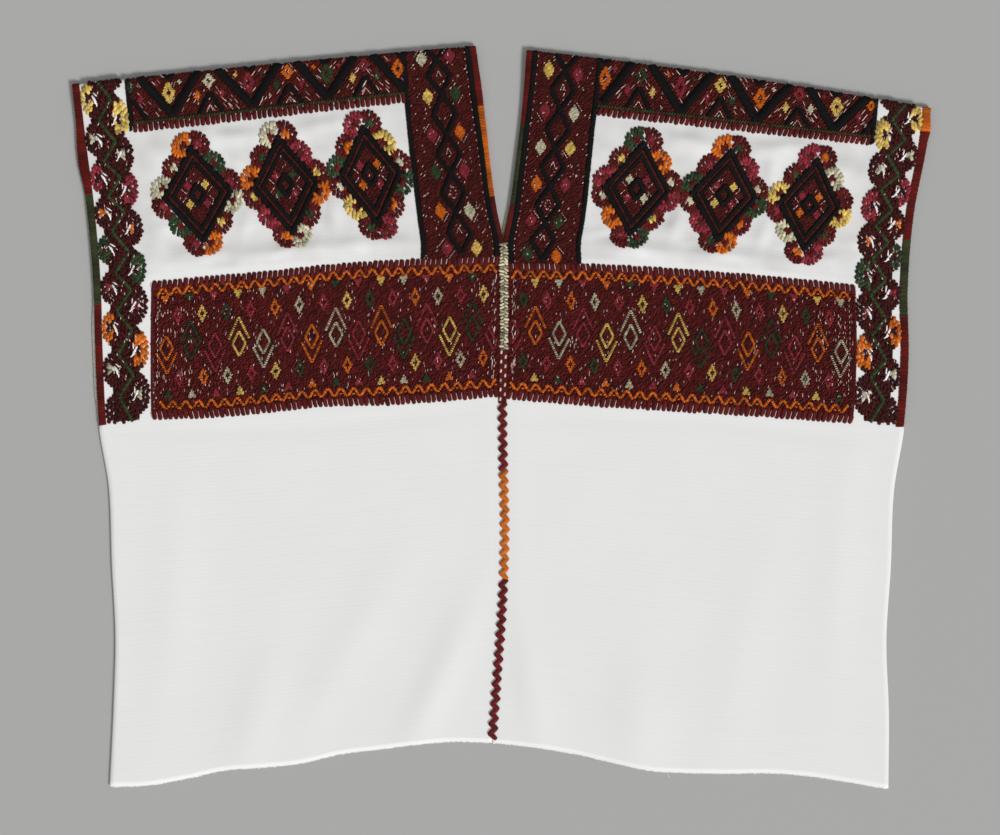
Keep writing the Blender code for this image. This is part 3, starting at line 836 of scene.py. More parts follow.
    def finished(self, name, slot="dark_red_thread", **how):
        """Lays all the stitches on the cloth, square to its face."""
        rows = np.concatenate(self.rows)
        if self.drift:
            rows[:, 1] += self.drift(rows[:, 0], rows[:, 1])
        across, down, lean = rows[:, 0], rows[:, 1], np.radians(rows[:, 2])
        step = 0.4
        side_step, down_step = self.half.side * step * np.cos(lean), -step * np.sin(lean)
        place = front_place(self.half, across, down)
        ahead = front_place(self.half, across + side_step, down + down_step)
        behind = front_place(self.half, across - side_step, down - down_step)
        run = ahead - behind
        run /= np.linalg.norm(run, axis=1, keepdims=True)
        over = front_place(self.half, across + step, down) - front_place(self.half, across - step, down)
        along = front_place(self.half, across, down + step) - front_place(self.half, across, down - step)
        face = -self.half.side * np.cross(over, along)
        face /= np.linalg.norm(face, axis=1, keepdims=True)
        place = place + face * rows[:, 6:7] * MM
        size = rows[:, [4, 5, 3]] * MM
        # A stitch that would pass under the fold into the floor isn't laid.
        steep = np.abs(run[:, 2])
        lowest = place[:, 2] - steep * size[:, 2] * 0.55 - (1 - steep) * size[:, 1] * 0.55
        kept = (lowest > 0) | (down > 0)
        place, run, face, size, rows = place[kept], run[kept], face[kept], size[kept], rows[kept]
        return lay_stitches(name, place, run, face, size, rows[:, 7:11], slot, **how)


# Each row gives a distance down the cloth, and a line's distance across it from the neck edge.
Mark = namedtuple("Mark", "down across")
INNER_LINE = {
    "left": (
        Mark(-3, 7.6), Mark(2, 7.4), Mark(30, 5.4), Mark(60, 4.6), Mark(102, 5.2), Mark(140, 6.8),
        Mark(170, 6.4), Mark(198, 6.8),
    ),
    "right": (Mark(-3, 7.7), Mark(0, 7.7), Mark(68, 5.7), Mark(137, 6.4), Mark(203, 6.9)),
}
OUTER_LINE = {
    "left": (
        Mark(-3, 69.4), Mark(4, 69.4), Mark(35, 68.8), Mark(68, 70.0), Mark(97, 71.8), Mark(125, 72.8),
        Mark(152, 73.9), Mark(196, 76.4),
    ),
    "right": (Mark(-3, 69.6), Mark(3, 69.6), Mark(62, 68.5), Mark(133, 71.1), Mark(201, 72.2)),
}
CHAIN = {
    "left": (
        Mark(-16, 37), Mark(9.8, 38.2), Mark(45, 35), Mark(84, 35.7), Mark(119, 37.9), Mark(151.5, 39),
        Mark(192, 40.4),
    ),
    "right": (
        Mark(-14, 39), Mark(13, 37.7), Mark(46, 35.8), Mark(84, 35.5), Mark(122, 35.5), Mark(159, 36),
        Mark(197.5, 37.6),
    ),
}
Dot = namedtuple("Dot", "across down colour")
NECK_DOTS = {
    "left": (
        Dot(52.2, 8.4, CREAM), Dot(49, 46.7, YELLOW), Dot(50, 82.5, ROSE), Dot(52.2, 116.8, GREEN),
        Dot(53.6, 150.6, ORANGE), Dot(53.6, 187, ROSE), Dot(25, 7.6, ROSE), Dot(22.5, 46.2, GREEN),
        Dot(23, 82.6, ORANGE), Dot(24.5, 117, ROSE), Dot(25.7, 151.5, CREAM), Dot(25.7, 187, YELLOW),
    ),
    "right": (
        Dot(22, 14, YELLOW), Dot(21.5, 49, ROSE), Dot(21.5, 84, CREAM), Dot(22, 120.6, ORANGE),
        Dot(22, 157, ROSE), Dot(23, 192, GREEN), Dot(50.5, 15, ROSE), Dot(49.5, 48.6, CREAM),
        Dot(50, 83, YELLOW), Dot(50, 120, ROSE), Dot(49, 158, GREEN), Dot(50.5, 194, ORANGE),
    ),
}
CHAIN_HALF_WIDTH = 11.0


def neck_band(half, seed):
    chart = Chart(half, seed)
    inner = [(mark.across, mark.down) for mark in INNER_LINE[half.name]]
    outer = [(mark.across, mark.down) for mark in OUTER_LINE[half.name]]
    chart.run(inner, 1.25, lean=30, size=(6.4, 1.7, 1.5), colour=BLACK)
    chart.run(outer, 1.25, lean=30, size=(6.0, 1.7, 1.5), colour=BLACK)
    chain = CHAIN[half.name]
    for k, (upper, lower) in enumerate(zip(chain, chain[1:])):
        middle = ((upper.across + lower.across) / 2, (upper.down + lower.down) / 2)
        for sign in (-1, 1):
            side = (middle[0] + sign * CHAIN_HALF_WIDTH, middle[1])
            path = [(upper.across, upper.down), side, (lower.across, lower.down)]
            if upper.down < 0:
                path = [side if side[1] > -2 else (side[0], -2), (lower.across, lower.down)]
            chart.run(path, 1.3, size=(4.9, 1.8, 1.4), colour=BLACK)
        glint = {"size": (0.7, 2.0, 0.8), "colour": PINK_WHITE, "lift": 0.95, "keep": False, "uneven": 0.3}
        if k % 2 == 1:
            x, y = middle
            caret = [(x - 2.4, y + 0.5), (x, y - 5.5), (x + 2.4, y + 0.5)]
            chart.run(caret, 2.0, **glint)
        if k % 4 == 0 and upper.down > 0:
            chart.ring(*middle, 3.2, 5.8, pitch=3.1, **glint)
    for dot in NECK_DOTS[half.name]:
        chart.solid(dot.across, dot.down, 5.9, 8.8, dot.colour)
        for path in (
            [(dot.across - 7.6, dot.down + 2.0), (dot.across - 1.5, dot.down + 10.2)],
            [(dot.across + 1.0, dot.down - 10.4), (dot.across + 7.4, dot.down - 2.5)],
        ):
            if chart.chance.random() < 0.35:
                chart.run(path, 2.4, **glint)
    beside = [(across + 3.6, down) for across, down in inner]
    for start, end in zip(beside, beside[1:]):
        chart.run([start, end], 7.5, lean=90, **{**glint, "size": (1.7, 0.8, 0.9)})
    foot = inner[-1][1] + 4
    outline = [(inner[0][0] - 1, -2.6), (inner[-1][0] - 1, foot), (outer[-1][0], foot), (outer[0][0], -2.6)]
    chart.ground(outline, RED, lean=42, light=0.0)
    chart.glints(outline, 110, 50, length=2.3)
    return chart.finished(half.name + "_neck_band")


neck_bands = {half.name: neck_band(half, 11 + half.side) for half in (LEFT, RIGHT)}


# The shoulder bands
# Along the shoulder runs a heavy black zigzag on the same dark red, with small diamonds in its corners.
# A green line and a row of dark red teeth close the band, which runs on over the fold.
SHOULDER_END = 336.5
ZIGZAG_FEET = {"left": (71.7, 144.5, 217.8, 295.6), "right": (75.0, 150.3, 223.4, 297.3)}
ZIGZAG_PEAKS = {"left": (107.4, 181.1, 257.9, 332.0), "right": (109.8, 187.6, 262.7, 337.0)}
ZIGZAG_FOOT_DOWN = 36.2
ZIGZAG_PEAK_DOWN = -12.0
Gem = namedtuple("Gem", "across down half_width half_height hole colour")
SHOULDER_GEMS = {
    "left": (
        Gem(296.7, 16.5, 7.0, 11.0, 0.33, YELLOW), Gem(219.5, 14.5, 7.0, 11.0, 0.33, ROSE),
        Gem(143.9, 13.8, 7.0, 11.0, 0.33, GREEN), Gem(75.5, 15.5, 6.5, 11.0, 0.33, ORANGE),
        Gem(257.6, 9.2, 7.0, 7.2, 0.30, CREAM), Gem(181.2, 8.4, 7.0, 7.2, 0.30, ORANGE),
        Gem(107.8, 8.6, 7.0, 7.2, 0.30, ROSE), Gem(333.0, 8.0, 5.0, 6.6, 0.30, GREEN),
        Gem(269.5, 22.0, 3.7, 5.5, 0, ORANGE), Gem(246.2, 22.0, 3.7, 5.5, 0, ROSE),
        Gem(192.6, 19.5, 3.7, 5.5, 0, GREEN), Gem(169.1, 20.0, 3.7, 5.5, 0, ROSE),
        Gem(119.5, 20.5, 3.7, 5.5, 0, YELLOW), Gem(95.5, 21.0, 3.7, 5.5, 0, GREEN),
        Gem(324.5, 20.0, 3.7, 5.5, 0, ROSE), Gem(308.5, 8.0, 2.4, 2.6, 0, ROSE),
        Gem(285.5, 7.5, 2.4, 2.6, 0, CREAM), Gem(231.5, 6.5, 2.4, 2.6, 0, YELLOW),
        Gem(207.5, 6.5, 2.4, 2.6, 0, GREEN), Gem(156.0, 6.0, 2.4, 2.6, 0, ORANGE),
        Gem(132.0, 6.5, 2.4, 2.6, 0, ROSE), Gem(84.5, 6.0, 3.0, 3.4, 0, ROSE),
    ),
    "right": (
        Gem(148.6, 15.6, 7.0, 11.0, 0.33, ROSE), Gem(225.2, 16.1, 7.0, 11.0, 0.33, ORANGE),
        Gem(298.6, 14.2, 7.0, 11.0, 0.33, YELLOW), Gem(76.0, 15.5, 6.5, 11.0, 0.33, ORANGE),
        Gem(110.6, 9.8, 7.0, 7.2, 0.30, GREEN), Gem(186.6, 9.4, 7.0, 7.2, 0.30, YELLOW),
        Gem(262.3, 7.6, 7.0, 7.2, 0.30, ROSE), Gem(331.5, 8.0, 5.0, 6.6, 0.30, ORANGE),
        Gem(98.3, 22.8, 3.7, 5.5, 0, ROSE), Gem(122.3, 22.6, 3.7, 5.5, 0, YELLOW),
        Gem(174.4, 21.0, 3.7, 5.5, 0, ROSE), Gem(199.0, 21.0, 3.7, 5.5, 0, GREEN),
        Gem(250.2, 21.3, 3.7, 5.5, 0, YELLOW), Gem(274.1, 20.1, 3.7, 5.5, 0, CREAM),
        Gem(320.4, 20.5, 3.7, 5.5, 0, ROSE), Gem(85.0, 6.5, 3.4, 3.8, 0, ROSE),
        Gem(136.5, 6.5, 2.6, 3.0, 0, ORANGE), Gem(161.0, 7.0, 2.4, 2.6, 0, GREEN),
        Gem(212.0, 6.5, 2.4, 2.6, 0, ROSE), Gem(237.5, 6.5, 2.4, 2.6, 0, CREAM),
        Gem(286.0, 6.0, 2.4, 2.6, 0, ROSE), Gem(311.0, 6.0, 2.0, 2.2, 0, GREEN),
    ),
}
GREEN_LINE_DOWN = {"left": 40.4, "right": 39.2}
LEAF = dye(48, 66, 38)
TOOTH_PITCH = 5.0


def teeth(chart, start, end, root, tip, pitch, lean, colour=DEEP_RED):
    """A row of fat stitches side by side, from their roots to their rounded tips, with slits between."""
    count = round((end - start) / pitch)
    across = start + (np.arange(count) + 0.5) * (end - start) / count
    across = across + chart.chance.uniform(-0.25, 0.25, count)
    length = abs(tip - root) + chart.chance.uniform(-0.7, 0.7, count)
    sizes = np.stack([length, np.full(count, pitch * 0.92), np.full(count, 1.8)], axis=-1)
    chart.lay(across, (root + tip) / 2, chart.chance.normal(lean, 3.0, count), sizes, colour, 0.5, 0.16)
    slits = across + pitch / 2
    slits = slits[chart.chance.random(count) < 0.6]
    chart.lay(slits, root * 0.42 + tip * 0.58, lean, (abs(tip - root) * 0.6, 0.6, 0.8), PINK_WHITE, 0.95, 0.2)


def shoulder_band(half, seed):
    chart = Chart(half, seed)
    start = NECK_BAND[half.name][0] + 2.5
    feet, peaks = ZIGZAG_FEET[half.name], ZIGZAG_PEAKS[half.name]
    # A heavy arm ends where it would pass behind the fold.
    for foot, peak in [*zip(feet, peaks), *zip(feet[1:], peaks)]:
        rise = (ZIGZAG_FOOT_DOWN + 1.0) / (ZIGZAG_FOOT_DOWN - ZIGZAG_PEAK_DOWN)
        top = (foot + (peak - foot) * rise, -1.0)
        arm = [(foot, ZIGZAG_FOOT_DOWN), (min(top[0], SHOULDER_END), top[1])]
        chart.run(arm, 1.25, size=(8.6, 1.75, 1.5), colour=BLACK)
    for foot in feet:
        for sign in (-1, 1):
            chart.run([(foot, 4.2), (foot + sign * 5.5, -1.8)], 1.3, size=(4.0, 1.7, 1.4), colour=BLACK)
    for peak in peaks:
        tip = 20.5
        for sign in (-1, 1):
            leg = [(peak + sign * 0.5, tip), (peak + sign * 11.5, 38.5)]
            if leg[1][0] < SHOULDER_END - 3 or sign < 0:
                chart.run(leg, 1.3, size=(4.6, 1.7, 1.4), colour=BLACK)
    end_line = [(SHOULDER_END - 1.0, 0), (SHOULDER_END - 0.5, 47)]
    chart.run(end_line, 1.25, lean=36, size=(5.4, 1.7, 1.5), colour=BLACK)
    for gem in SHOULDER_GEMS[half.name]:
        if gem.across > start + 1:
            chart.solid(gem.across, gem.down, gem.half_width, gem.half_height, gem.colour, hole=gem.hole)
    green_down = GREEN_LINE_DOWN[half.name]
    green_line = [(start, green_down), (SHOULDER_END, green_down)]
    chart.run(green_line, 2.6, lean=55, size=(3.8, 1.7, 1.4), colour=LEAF, uneven=0.25)
    for peak in peaks[:3]:
        for sign in (-1, 1):
            glint = [(peak, 31.5), (peak + sign * 4.2, 37.5)]
            chart.run(glint, 2.6, size=(0.8, 2.4, 0.9), colour=PINK_WHITE, lift=0.95, keep=False, uneven=0.3)
    outline = [(start, -2.4), (start, 38), (SHOULDER_END, 38), (SHOULDER_END, -2.4)]
    chart.ground(outline, BRICK, lean=46, light=0.0)

    def beside_arm(across, down):
        """The lean of the nearest heavy arm."""
        places = np.array(sorted([*feet, *peaks]))
        number = np.searchsorted(places, across)
        is_rising = number % 2 == (1 if feet[0] < peaks[0] else 0)
        return np.where(is_rising, 90 - half.side * 38, 90 + half.side * 38)

    chart.glints(outline, 110, beside_arm, length=4.6)
    low, high = green_down - 2, green_down + 5
    under = [(start, low), (start, high), (SHOULDER_END, high), (SHOULDER_END, low)]
    chart.ground(under, DEEP_RED, lean=70, light=0.0)
    tooth_root, tooth_tip = green_down - 0.5, green_down + 9.8
    tooth_lean = 90 - 6 * (half.side + 1)
    teeth(chart, start, SHOULDER_END - 2, tooth_root, tooth_tip, TOOTH_PITCH, tooth_lean)
    return chart.finished(half.name + "_shoulder_band", rings=4)


shoulder_bands = {half.name: shoulder_band(half, 21 + half.side) for half in (LEFT, RIGHT)}


# The medallions
# Three diamonds stand on the white cloth of each half. Two black bars with a brown-red line between them
# frame a dark red field, and twelve flowers of short upright stitches ring each one.
PETAL_WIDTH = 4.0
PETAL_LENGTH = 6.2
# Where a flower stands along a side, as a share from its upper or lower corner, and how far out.
Flower = namedtuple("Flower", "share out")
FLOWERS = (Flower(0.065, 6.6), Flower(0.46, 4.8), Flower(0.86, 4.2))
# Clockwise from the left of the top corner: a bright flower, then the heart of the dark one beside it.
Medallion = namedtuple("Medallion", "half across down half_width half_height dots flowers")
MEDALLION_ROWS = (
    Medallion(
        LEFT, 281.5, 118.3, 34.6, 50.6, (ROSE, YELLOW, YELLOW, ROSE),
        (ORANGE, ROSE, GREEN, ROSE, CREAM, YELLOW, ORANGE, ROSE, GREEN, ROSE, CREAM, CREAM),
    ),
    Medallion(
        LEFT, 196.8, 117.3, 33.0, 50.4, (ROSE, GREEN, GREEN, ROSE),
        (CREAM, ORANGE, ROSE, YELLOW, ORANGE, GREEN, CREAM, ORANGE, ROSE, YELLOW, ORANGE, GREEN),
    ),
    Medallion(
        LEFT, 115.0, 114.6, 31.2, 49.0, (ROSE, ORANGE, ORANGE, ROSE),
        (ROSE, GREEN, YELLOW, CREAM, GREEN, ORANGE, ROSE, GREEN, YELLOW, CREAM, GREEN, ORANGE),
    ),
    Medallion(
        RIGHT, 119.2, 118.9, 33.4, 51.8, (CREAM, ROSE, ROSE, CREAM),
        (GREEN, ROSE, ORANGE, CREAM, ROSE, YELLOW, GREEN, ROSE, ORANGE, CREAM, ROSE, YELLOW),
    ),
    Medallion(
        RIGHT, 203.8, 117.8, 32.9, 51.8, (ROSE, YELLOW, YELLOW, ROSE),
        (ORANGE, GREEN, ROSE, CREAM, GREEN, ORANGE, ORANGE, GREEN, ROSE, CREAM, GREEN, ROSE),
    ),
    Medallion(
        RIGHT, 286.8, 119.6, 31.2, 53.0, (ROSE, ORANGE, ORANGE, ROSE),
        (ROSE, ORANGE, CREAM, DEEP_RED, YELLOW, GREEN, ROSE, ORANGE, CREAM, ROSE, YELLOW, GREEN),
    ),
)


def petals(chart, centre, radii, keep, choose, turn=0.0):
    """Fat short stitches in rings that fill an oval, most of them nearly upright.
    keep says which places take one, and choose gives each its colour."""
    tilt = math.radians(turn)
    rows = []
    for number in range(5):
        inset = PETAL_LENGTH * (0.45 + 0.63 * number)
        wide, tall = radii[0] - inset, radii[1] - inset
        if max(wide, tall) < 0.5:
            break
        wide, tall = max(wide, 0.3), max(tall, 0.3)
        girth = 2 * math.pi * math.hypot(*radii) / math.sqrt(2) / 4.7
        if number > 0:
            girth = 2 * math.pi * math.hypot(wide, tall) / math.sqrt(2) / 3.9
        count = max(2, round(girth))
        angle = (np.arange(count) + 0.5 * (number % 2) + 0.25) / count * 2 * math.pi
        right = wide * np.cos(angle) * math.cos(tilt) - tall * np.sin(angle) * math.sin(tilt)
        up = wide * np.cos(angle) * math.sin(tilt) + tall * np.sin(angle) * math.cos(tilt)
        outward = np.degrees(np.arctan2(np.sin(angle) / tall, np.cos(angle) / wide)) + turn
        rows.append(np.stack([right, up, 90 + (outward % 180 - 90) * 0.42], axis=-1))
    rows = np.concatenate(rows)
    across = centre[0] + chart.half.side * rows[:, 0] + chart.chance.uniform(-0.3, 0.3, len(rows))
    down = centre[1] - rows[:, 1] + chart.chance.uniform(-0.4, 0.4, len(rows))
    lean = rows[:, 2] + chart.chance.normal(0, 7, len(rows))
    kept = keep(across, down)
    across, down, lean = across[kept], down[kept], lean[kept]
    length = PETAL_LENGTH * chart.chance.uniform(0.85, 1.08, len(across))
    width = PETAL_WIDTH * chart.chance.uniform(0.9, 1.1, len(across))
    sizes = np.stack([length, width, np.full(len(across), 2.0)], axis=-1)
    chart.lay(across, down, lean, sizes, choose(across, down), 0.5, 0.27)


def medallion(chart, row):
    half_width, half_height = row.half_width, row.half_height
    centre = np.array([row.across, row.down])
    depth = half_width * half_height / math.hypot(half_width, half_height)
    corners = np.array([(0.0, -half_height), (half_width, 0.0), (0.0, half_height), (-half_width, 0.0)])

    def frame_line(inset, beyond, **how):
        """The four sides of a diamond within the outer one, drawn out a little at their corners."""
        share = 1 - inset / depth
        for number in range(4):
            start, end = corners[number] * share, corners[(number + 1) % 4] * share
            way = (end - start) / np.linalg.norm(end - start)
            at_tip, at_side = (beyond, beyond * 0.4) if number % 2 == 0 else (beyond * 0.4, beyond)
            chart.run([centre + start - way * at_tip, centre + end + way * at_side], **how)

    frame_line(2.1, 2.2, pitch=1.3, size=(5.2, 1.8, 1.6), colour=BLACK, lift=0.75)
    frame_line(6.1, 0.5, pitch=1.7, size=(2.9, 1.9, 1.2), colour=dye(64, 20, 13), uneven=0.4)
    frame_line(9.2, 1.4, pitch=1.3, size=(3.8, 1.8, 1.4), colour=BLACK)
    chart.ring(*centre, 6.6, 10.6, pitch=1.25, size=(4.6, 1.7, 1.4), colour=BLACK)
    for (right, up), colour in zip(((-1, 1), (1, 1), (-1, -1), (1, -1)), row.dots):
        spot = (centre[0] + row.half.side * right * 8.2, centre[1] - up * 9.4)
        chart.solid(*spot, 4.6, 5.6, colour)
        glint = [(centre[0] + row.half.side * right * 10.6, centre[1] - up * 1.6)]
        glint.append((centre[0] + row.half.side * right * 15.2, centre[1] - up * 7.0))
        chart.run(glint, 3.4, size=(0.6, 3.4, 0.8), colour=PINK_WHITE, lift=0.95, keep=False, uneven=0.3)
    share = 1 - 9.6 / depth
    field = [
        (centre[0], centre[1] - half_height * share), (centre[0] + half_width * share, centre[1]),
        (centre[0], centre[1] + half_height * share), (centre[0] - half_width * share, centre[1]),
    ]
    chart.ground(field, RED, lean=46, size=(2.9, 1.7, 1.2), pitch=(2.4, 1.5), light=0.0)
    chart.glints(field, 9, 60, length=2.4)

    places = []
    rising = corners * (1, -1)
    for number, corner in enumerate(rising):
        side = rising[(number + 1) % 4] - corner
        along = side / np.linalg.norm(side)
        for flower in FLOWERS if number % 2 == 0 else FLOWERS[::-1]:
            share = flower.share if number % 2 == 0 else 1 - flower.share
            foot, outward = corner + side * share, np.array([-along[1], along[0]])
            turn = math.degrees(math.atan2(along[1], along[0]))
            places.append((foot + outward * flower.out, foot + outward * flower.out * 0.6, turn))
    # The ring starts left of the top corner, so the last of the places comes first.
    places = [places[-1], *places[:-1]]
    to_cloth = np.array([row.half.side, -1.0])
    middles = np.array([centre + place * to_cloth for place, _, _ in places])
    for k, ((place, heart, turn), colour) in enumerate(zip(places, row.flowers)):
        heart = centre + heart * to_cloth
        petal, middle = (colour, DEEP_RED) if k % 2 == 0 else (DEEP_RED, colour)

        def own_place(across, down):
            outside = np.abs(across - centre[0]) / half_width + np.abs(down - centre[1]) / half_height - 1
            away = np.hypot(across[:, None] - middles[:, 0], down[:, None] - middles[:, 1])
            return (outside * depth > 0.7) & (away.argmin(axis=1) == k)

        def own_colour(across, down):
            shade = np.tile(petal[:3], (len(across), 1))
            shade[np.hypot(across - heart[0], down - heart[1]) < 4.4] = middle[:3]
            return shade

        petals(chart, middles[k], (13.8, 10.6), own_place, own_colour, turn)


def medallion_group(half, seed):
    chart = Chart(half, seed)
    for row in MEDALLION_ROWS:
        if row.half is half:
            medallion(chart, row)
    return chart.finished(half.name + "_medallions", sides=5, rings=4, blunt=0.5)


medallions = {half.name: medallion_group(half, 31 + half.side) for half in (LEFT, RIGHT)}


# The chest bands
# Below the neck a deep band of dark red crosses each half. Diamonds with a hooked corner stand in the
# middle row, small diamonds above and below it, orange zigzags along both edges, and teeth outside those.
O, G, R, Y, C = dye(186, 92, 24), dye(42, 58, 36), dye(136, 44, 52), dye(194, 162, 82), dye(166, 158, 132)
CHEST_TOP_TIP = 200.0
CHEST_TOP_ROOT = 209.6
CHEST_FOOT_ROOT = 322.8
CHEST_FOOT_TIP = 333.8
CHEST_TOOTH_PITCH = 5.0
CHEST_ZIGZAG_PITCH = 12.4
# Rows from the middle seam outwards: the upper ticks, the two rows of small diamonds, the lower ticks.
Chest = namedtuple("Chest", "half places main upper_small lower_small upper_tick lower_tick")
CHEST_ROWS = (
    Chest(
        LEFT, (8.5, 159.5, 320.7),
        (R, G, Y, R, G, O, R, C, O, R, C, Y, R, G, O),
        (Y, R, C, O, R, G, Y, R, C, O, R, G, Y, R),
        (O, C, R, Y, R, G, O, R, G, Y, R, C, O, R),
        (G, O, R, C, Y, R, G, O, R, C, Y, R, G, O),
        (R, O, G, C, Y, R, G, O, R, G, Y, R, C, G),
    ),
    Chest(
        RIGHT, (7.0, 167.0, 323.4),
        (R, O, C, R, Y, C, R, Y, G, R, O, G, R, O, C),
        (G, R, O, C, R, Y, G, R, O, C, R, Y, G, R),
        (G, R, O, G, R, O, C, R, Y, G, R, O, C, R),
        (Y, C, R, O, G, R, Y, C, R, O, G, R, Y, C),
        (Y, G, R, O, C, R, O, G, R, Y, C, R, Y, G),
    ),
)
RUNG = {"pitch": 2.0, "size": (2.8, 1.8, 1.6), "uneven": 0.3}
# How far the band lies down from its straight course, along its upper edge and along its foot.
Sag = namedtuple("Sag", "across top foot")
CHEST_SAGS = {
    "left": (
        Sag(0, -6.4, -2.9), Sag(55, -4.7, -1.7), Sag(105, -3.5, -1.6), Sag(140, -2.4, -2.9),
        Sag(168, -1.0, -4.3), Sag(195, 0.6, -3.6), Sag(240, 2.2, -1.6), Sag(285, 2.5, -1.2),
        Sag(335, 2.8, -3.0),
    ),
    "right": (
        Sag(0, 0.0, -0.4), Sag(90, -0.4, 0.8), Sag(180, 0.2, 0.2), Sag(260, 0.4, -0.4), Sag(338, 0.6, 0.2),
    ),
}
CHEST_EDGE = {"left": (333.4, 337.0), "right": (337.6, 338.6)}


def chest_sag(half):
    rows = CHEST_SAGS[half.name]

    def sag(across, down):
        lower = np.clip((down - CHEST_TOP_TIP) / (CHEST_FOOT_TIP - CHEST_TOP_TIP), 0, 1)
        return smooth(rows, "top", across) * (1 - lower) + smooth(rows, "foot", across) * lower

    return sag


def hooked_diamond(chart, across, down, is_up, colour, start):
    """A diamond with a wide chevron above or below it."""
    way = -1 if is_up else 1
    tip, arm = down + way * 24.6, down + way * 4.2
    if across - 6.4 > start:
        chart.ring(across, down, 6.2, 11.6, colour=colour, **RUNG)
        chevron = [(across - 9.8, arm), (across, tip), (across + 9.8, arm)]
    else:
        chevron = [(across, tip), (across + 9.8, arm)]
        half_ring = [(across, down - 11.6), (across + 6.2, down), (across, down + 11.6)]
        chart.run(half_ring, colour=colour, **RUNG)
    chart.run(chevron, colour=colour, **RUNG)


def chest_band(row, seed):
    half = row.half
    chart = Chart(half, seed, chest_sag(half))
    top_end, foot_end = CHEST_EDGE[half.name]
    middle = 265.4
    columns = np.interp(np.arange(0, 14.4, 0.5), (0, 7, 14), row.places)
    for k, colour in enumerate(row.main):
        hooked_diamond(chart, max(columns[2 * k], 7.5), middle, k % 2 == 1, colour, 8.0)
    for k in range(14):
        small, tick = columns[2 * k + 1], columns[2 * k + 2]
        for down, colour in ((235.0, row.upper_small[k]), (294.2, row.lower_small[k])):
            chart.solid(small, down, 4.8, 8.8, colour, hole=0.46)
        chart.solid(tick, 220.0, 4.6, 4.8, row.upper_tick[k], shape="down")
        chart.solid(tick, 308.8, 4.6, 4.8, row.lower_tick[k], shape="up")
    count = round((top_end - 11) / CHEST_ZIGZAG_PITCH)
    pitch = (top_end - 11) / count
    for level, first in ((211.6, -1), (319.6, 1)):
        wave = np.cos(np.arange(8 * count + 1) * math.pi / 4)
        wave = np.sign(wave) * np.abs(wave) ** 0.85 * 3.7 + chart.chance.uniform(-0.35, 0.35, len(wave))
        zigzag = [(6.5 + pitch * k / 8, level - first * height) for k, height in enumerate(wave)]
        chart.run(zigzag, 1.9, size=(3.1, 2.0, 1.6), colour=O, uneven=0.36)
        # Some of the points close into a small ring.
        rings = 6.5 + pitch * (np.arange(count) + (0.5 if first < 0 else 0.0))
        rings = rings[chart.chance.random(count) < 0.6]
        chart.lay(rings, level + 1.6, 4, (3.0, 1.7, 1.5), O, 0.6, 0.3)
    glint = {"size": (2.8, 0.6, 0.9), "colour": PINK_WHITE, "lift": 0.95, "keep": False, "uneven": 0.3}
    chart.glints([(5.5, 212), (5.5, 320), (13, 320), (13, 212)], 34, 86, length=4.4)
    chart.run([(top_end - 6, 214), (foot_end - 7, 300)], 5.2, lean=88, **glint)
    side_row = [(top_end - 0.8, 206), (foot_end - 0.8, 329)]
    chart.run(side_row, 3.0, lean=90, size=(4.6, 2.4, 1.5), colour=DEEP_RED, keep=False)
    outline = [(3.4, 204.4), (3.4, 329.5), (foot_end - 0.5, 329.5), (top_end - 0.5, 205)]
    chart.ground(outline, DEEP_RED, lean=50, size=(4.6, 1.95, 1.3), pitch=(3.8, 1.95), light=0.0)
    chart.glints([(5.6, 214), (5.6, 318), (foot_end - 2, 318), (top_end - 2, 214)], 330, 86, length=2.7)
    for low, high in ((228, 244), (246, 262), (282, 300)):
        outer = [(foot_end - 44, low), (foot_end - 44, high), (foot_end - 2, high), (foot_end - 2, low)]
        chart.glints(outer, 14, 88, length=3.6)
    lean = 8 * half.side
    edges = Chart(half, seed + 2, chest_sag(half))
    teeth(edges, 4, top_end, CHEST_TOP_ROOT, CHEST_TOP_TIP, CHEST_TOOTH_PITCH, 91 + lean)
    teeth(edges, 4, foot_end, CHEST_FOOT_ROOT, CHEST_FOOT_TIP, CHEST_TOOTH_PITCH, 89 - lean * 1.4)
    edges.finished(half.name + "_chest_teeth", sides=6, rings=5)
    return chart.finished(half.name + "_chest_band", rings=3)


chest_bands = {row.half.name: chest_band(row, 41 + row.half.side) for row in CHEST_ROWS}


# The sleeve bands
# A green vine zigzags down beside each armhole on dark red, with a flower in every bend: half rounds of
# short upright stitches in the inner bends, and wider ones between the vine and the edging.
INNER_FLOWERS = {
    "left": (-10, 34, 69, 105, 145, 188, 223, 265, 305),
    "right": (-10, 35, 72, 113, 151, 189, 226, 265, 305),
}
OUTER_FLOWERS = {
    "left": (15, 52, 91, 127, 165, 205, 243, 282, 321),
    "right": (15.5, 56, 95, 130, 166, 205, 243, 284, 321),
}
Bloom = namedtuple("Bloom", "petal heart")
SHADE_RED = dye(55, 13, 11)
BLOOMS = (
    Bloom(YELLOW, SHADE_RED), Bloom(SHADE_RED, CREAM), Bloom(ROSE, SHADE_RED), Bloom(SHADE_RED, ORANGE),
    Bloom(GREEN, SHADE_RED), Bloom(SHADE_RED, ROSE), Bloom(ORANGE, SHADE_RED), Bloom(SHADE_RED, CREAM),
)
INNER_BLOOMS = (Bloom(SHADE_RED, SHADE_RED), *BLOOMS)
OUTER_BLOOMS = (*BLOOMS, Bloom(SHADE_RED, SHADE_RED))
# The vine turns at one edge of its strip and then at the other, starting at the inner one.
VINE_EDGES = (352.6, 366.8)
VINE_TURNS = {
    "left": (16.5, 34.6, 56, 74.5, 92.5, 110.5, 128, 146.5, 170, 191, 209, 228, 247, 268, 288, 307),
    "right": (18.9, 38.5, 58, 77.5, 94.5, 115, 134, 151, 171, 192, 209, 230, 248, 270, 288, 309),
}


